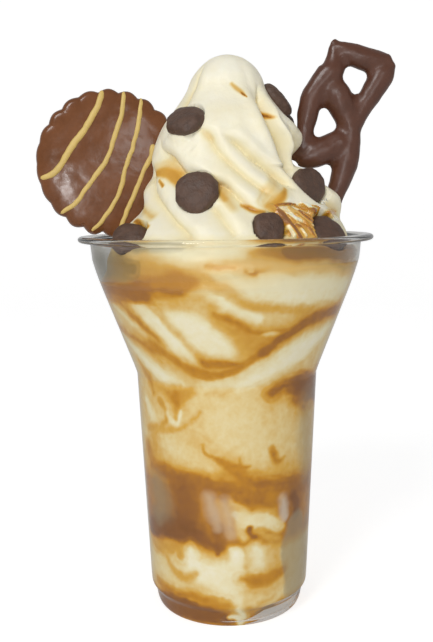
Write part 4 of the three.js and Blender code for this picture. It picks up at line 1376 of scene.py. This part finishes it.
# ---- the chocolate drops -----------------------------------------------------------------

# Place, azimuth and rise of the face's normal, and size of each drop.
DROPS = [
    ((-12.3, -17.0, 163.2), -28, 53, 1.0),
    ((-8.8, -28.4, 141.2), -10, 27, 1.04),
    ((17.4, 2.4, 171.6), 84, 40, 0.98),
    ((21.0, 10.6, 161.6), 112, 10, 1.0),
    ((12.5, -33.6, 130.2), 18, 22, 0.8),
    ((26.3, -13.8, 143.1), 44, 12, 1.02),
    ((30.9, -22.0, 128.1), 34, 38, 1.06),
    ((-29.8, -22.2, 127.1), -9, 40, 0.93),
    ((-13.4, 24.0, 144.6), 206, 16, 1.0),
    ((12.8, 32.4, 134.8), 158, 30, 0.97),
    ((-3.4, 18.4, 162.4), 186, 26, 0.96),
]


def make_drop(index, material):
    rows, around = DROP_GRID
    slope = np.linspace(0.04, math.pi - 0.04, rows)[::-1]
    angle = np.arange(around) * 360 / around
    side = np.sign(np.sin(slope)) * np.abs(np.sin(slope)) ** 0.62
    rise_share = np.sign(np.cos(slope)) * np.abs(np.cos(slope)) ** 0.8
    radius = DROP["radius"] * side[:, None]
    half = DROP["thick"] / 2
    height = np.broadcast_to(half * rise_share[:, None], (rows, around))
    rings = around_axis(angle[None, :], radius, height)
    seed = 71 + index * 5
    lumps = 1 + 0.13 * layered_noise(rings, 6.0, seed) + 0.06 * layered_noise(rings, 2.4, seed + 3)
    oval = 1 + 0.04 * np.sin(np.radians(angle * 2 + index * 50))
    rings = rings * (lumps * 0.98)[..., None]
    rings[..., :2] *= oval[None, :, None]
    poles = np.array([rings[0].mean(0), rings[-1].mean(0)])
    matrix = drop_matrix(index)
    stands_for = f"chocolate_drop_{index + 1}"
    shape = within(stands_for, moved(rings.reshape(-1, 3), matrix)).reshape(rings.shape)
    piece = ring_piece(f"drop_{index + 1}", shape, within(stands_for, moved(poles, matrix)))
    return settle(piece, "dark_chocolate", material, stands_for)


# ---- floor, lights and camera ------------------------------------------------------------

FLOOR_WIDTH = 5.0
FLOOR_FLAT = 0.9  # how far back the floor is flat, in metres
FLOOR_BEND = 0.6
# Strength for all other rays, and for the camera.
FLOOR_GLOW = (0.3, 0.75)
SKY_GLOW = (0.37, 1.0)
LAMP_TARGET = (0, 0, 0.11)
# Each lamp: its name, its place and size in metres, and its watts.
LAMPS = [
    ("key", (-0.42, -0.77, 0.82), 0.35, 4.5),
    ("fill", (0.8, -0.6, 0.35), 0.7, 0.3),
    ("front", (-0.1, -1.06, 0.147), 0.1, 1.5),
    ("front_right", (0.21, -0.97, 0.35), 0.2, 0.8),
]


def seen_brighter(tree, others, camera):
    """A strength that is one value for the camera and another for all other rays."""
    bright = spread_over(tree, others, camera)
    wire(tree, (node(tree, "ShaderNodeLightPath"), "Is Camera Ray", bright, "Value"))
    return bright


def make_floor():
    """A pale floor that curves up behind the sundae."""
    flat, bend, half = FLOOR_FLAT, FLOOR_BEND, FLOOR_WIDTH / 2
    curve = np.linspace(0.1, 1.57, 14)
    line = [(-1.5, 0), (flat, 0)]
    line += [(flat + bend * math.sin(a), bend - bend * math.cos(a)) for a in curve]
    line += [(flat + bend, 2.2)]
    points, faces = [], []
    for y, z in line:
        points += [(-half * 1000, y * 1000, z * 1000), (half * 1000, y * 1000, z * 1000)]
    for i in range(len(line) - 1):
        faces.append((2 * i, 2 * i + 1, 2 * i + 3, 2 * i + 2))
    floor = mesh_piece("floor", points, faces)
    material, tree, shader, _ = new_material("pale_floor")
    wire(tree, (seen_brighter(tree, *FLOOR_GLOW), "Result", shader, "Emission Strength"))
    set_inputs(shader, {
        "Base Color": (0.5, 0.5, 0.5, 1), "Roughness": 1.0,
        "Specular IOR Level": 0.0, "Emission Color": (1, 1, 1, 1),
    })
    floor.data.materials.append(material)


def add_lamp(name, place, size, watts):
    data = bpy.data.lights.new(name, "AREA")
    data.shape = "DISK"
    data.size = size
    data.energy = watts
    lamp = bpy.data.objects.new(name, data)
    lamp.location = place
    aim = Vector(LAMP_TARGET) - Vector(place)
    lamp.rotation_euler = aim.to_track_quat("-Z", "Y").to_euler()
    bpy.context.scene.collection.objects.link(lamp)


def make_lights():
    for lamp in LAMPS:
        add_lamp(*lamp)
    world = bpy.data.worlds.new("studio")
    world.use_nodes = True
    tree = world.node_tree
    sky = tree.nodes["Background"]
    set_inputs(sky, {"Color": (1, 1, 1, 1)})
    wire(tree, (seen_brighter(tree, *SKY_GLOW), "Result", sky, "Strength"))
    bpy.context.scene.world = world


CAMERA_PLACE = (-0.0033, -0.2802, 0.1370)
CAMERA_PITCH = 7.90
CAMERA_ROLL = 0.72
CAMERA_LENS = 31.02  # for a frame 24 mm high


def make_camera():
    data = bpy.data.cameras.new("camera")
    data.sensor_fit = "VERTICAL"
    data.sensor_height = 24
    data.lens = CAMERA_LENS
    data.clip_start = 0.01
    camera = bpy.data.objects.new("camera", data)
    tilt = Matrix.Rotation(math.radians(90 - CAMERA_PITCH), 4, "X")
    roll = Matrix.Rotation(math.radians(-CAMERA_ROLL), 4, "Z")
    camera.matrix_world = Matrix.Translation(CAMERA_PLACE) @ tilt @ roll
    bpy.context.scene.collection.objects.link(camera)
    bpy.context.scene.camera = camera
    bpy.context.scene.view_settings.view_transform = "Standard"


# ---- the whole ---------------------------------------------------------------------------

make_camera()
make_lights()
make_floor()

settle(make_cup(), "clear_plastic", clear_plastic(), "cup")
make_layers(filling_material())
make_swirl(swirl_material())
make_sauce_sheet(caramel_sauce())
BISCUIT_COAT = chocolate(
    "biscuit_chocolate", tone(114, 70, 41), (0.16, 0.24),
    {"dark": 0.85, "light": 1.15, "cloud_size": 120.0, "speck_size": 900.0},
    {"distance": 0.04 * MM, "broad_size": 220.0, "fine_size": 900.0}, shine=0.28,
)
DRIZZLE = chocolate(
    "drizzle", tone(214, 184, 106), (0.4, 0.5),
    {"dark": 0.92, "light": 1.06, "cloud_size": 300.0, "speck_size": 900.0},
    {"distance": 0.1 * MM, "broad_size": 500.0, "fine_size": 1500.0},
)
PRETZEL_COAT = chocolate(
    "pretzel_chocolate", tone(88, 52, 36), (0.3, 0.4),
    {"dark": 0.85, "light": 1.12, "cloud_size": 150.0, "speck_size": 900.0},
    {"distance": 0.06 * MM, "broad_size": 200.0, "fine_size": 900.0},
)
DROP_CHOCOLATE = chocolate(
    "drop_chocolate", tone(85, 62, 49), (0.45, 0.62),
    {"dark": 0.72, "light": 1.3, "cloud_size": 420.0, "speck_size": 1800.0},
    {"distance": 0.4 * MM, "broad_size": 500.0, "fine_size": 1800.0, "fine_share": 0.5},
)
make_biscuit(BISCUIT_COAT)
make_drizzle(DRIZZLE)
make_pretzel(PRETZEL_COAT)
for drop in range(len(DROPS)):
    make_drop(drop, DROP_CHOCOLATE)

bpy.context.view_layer.update()
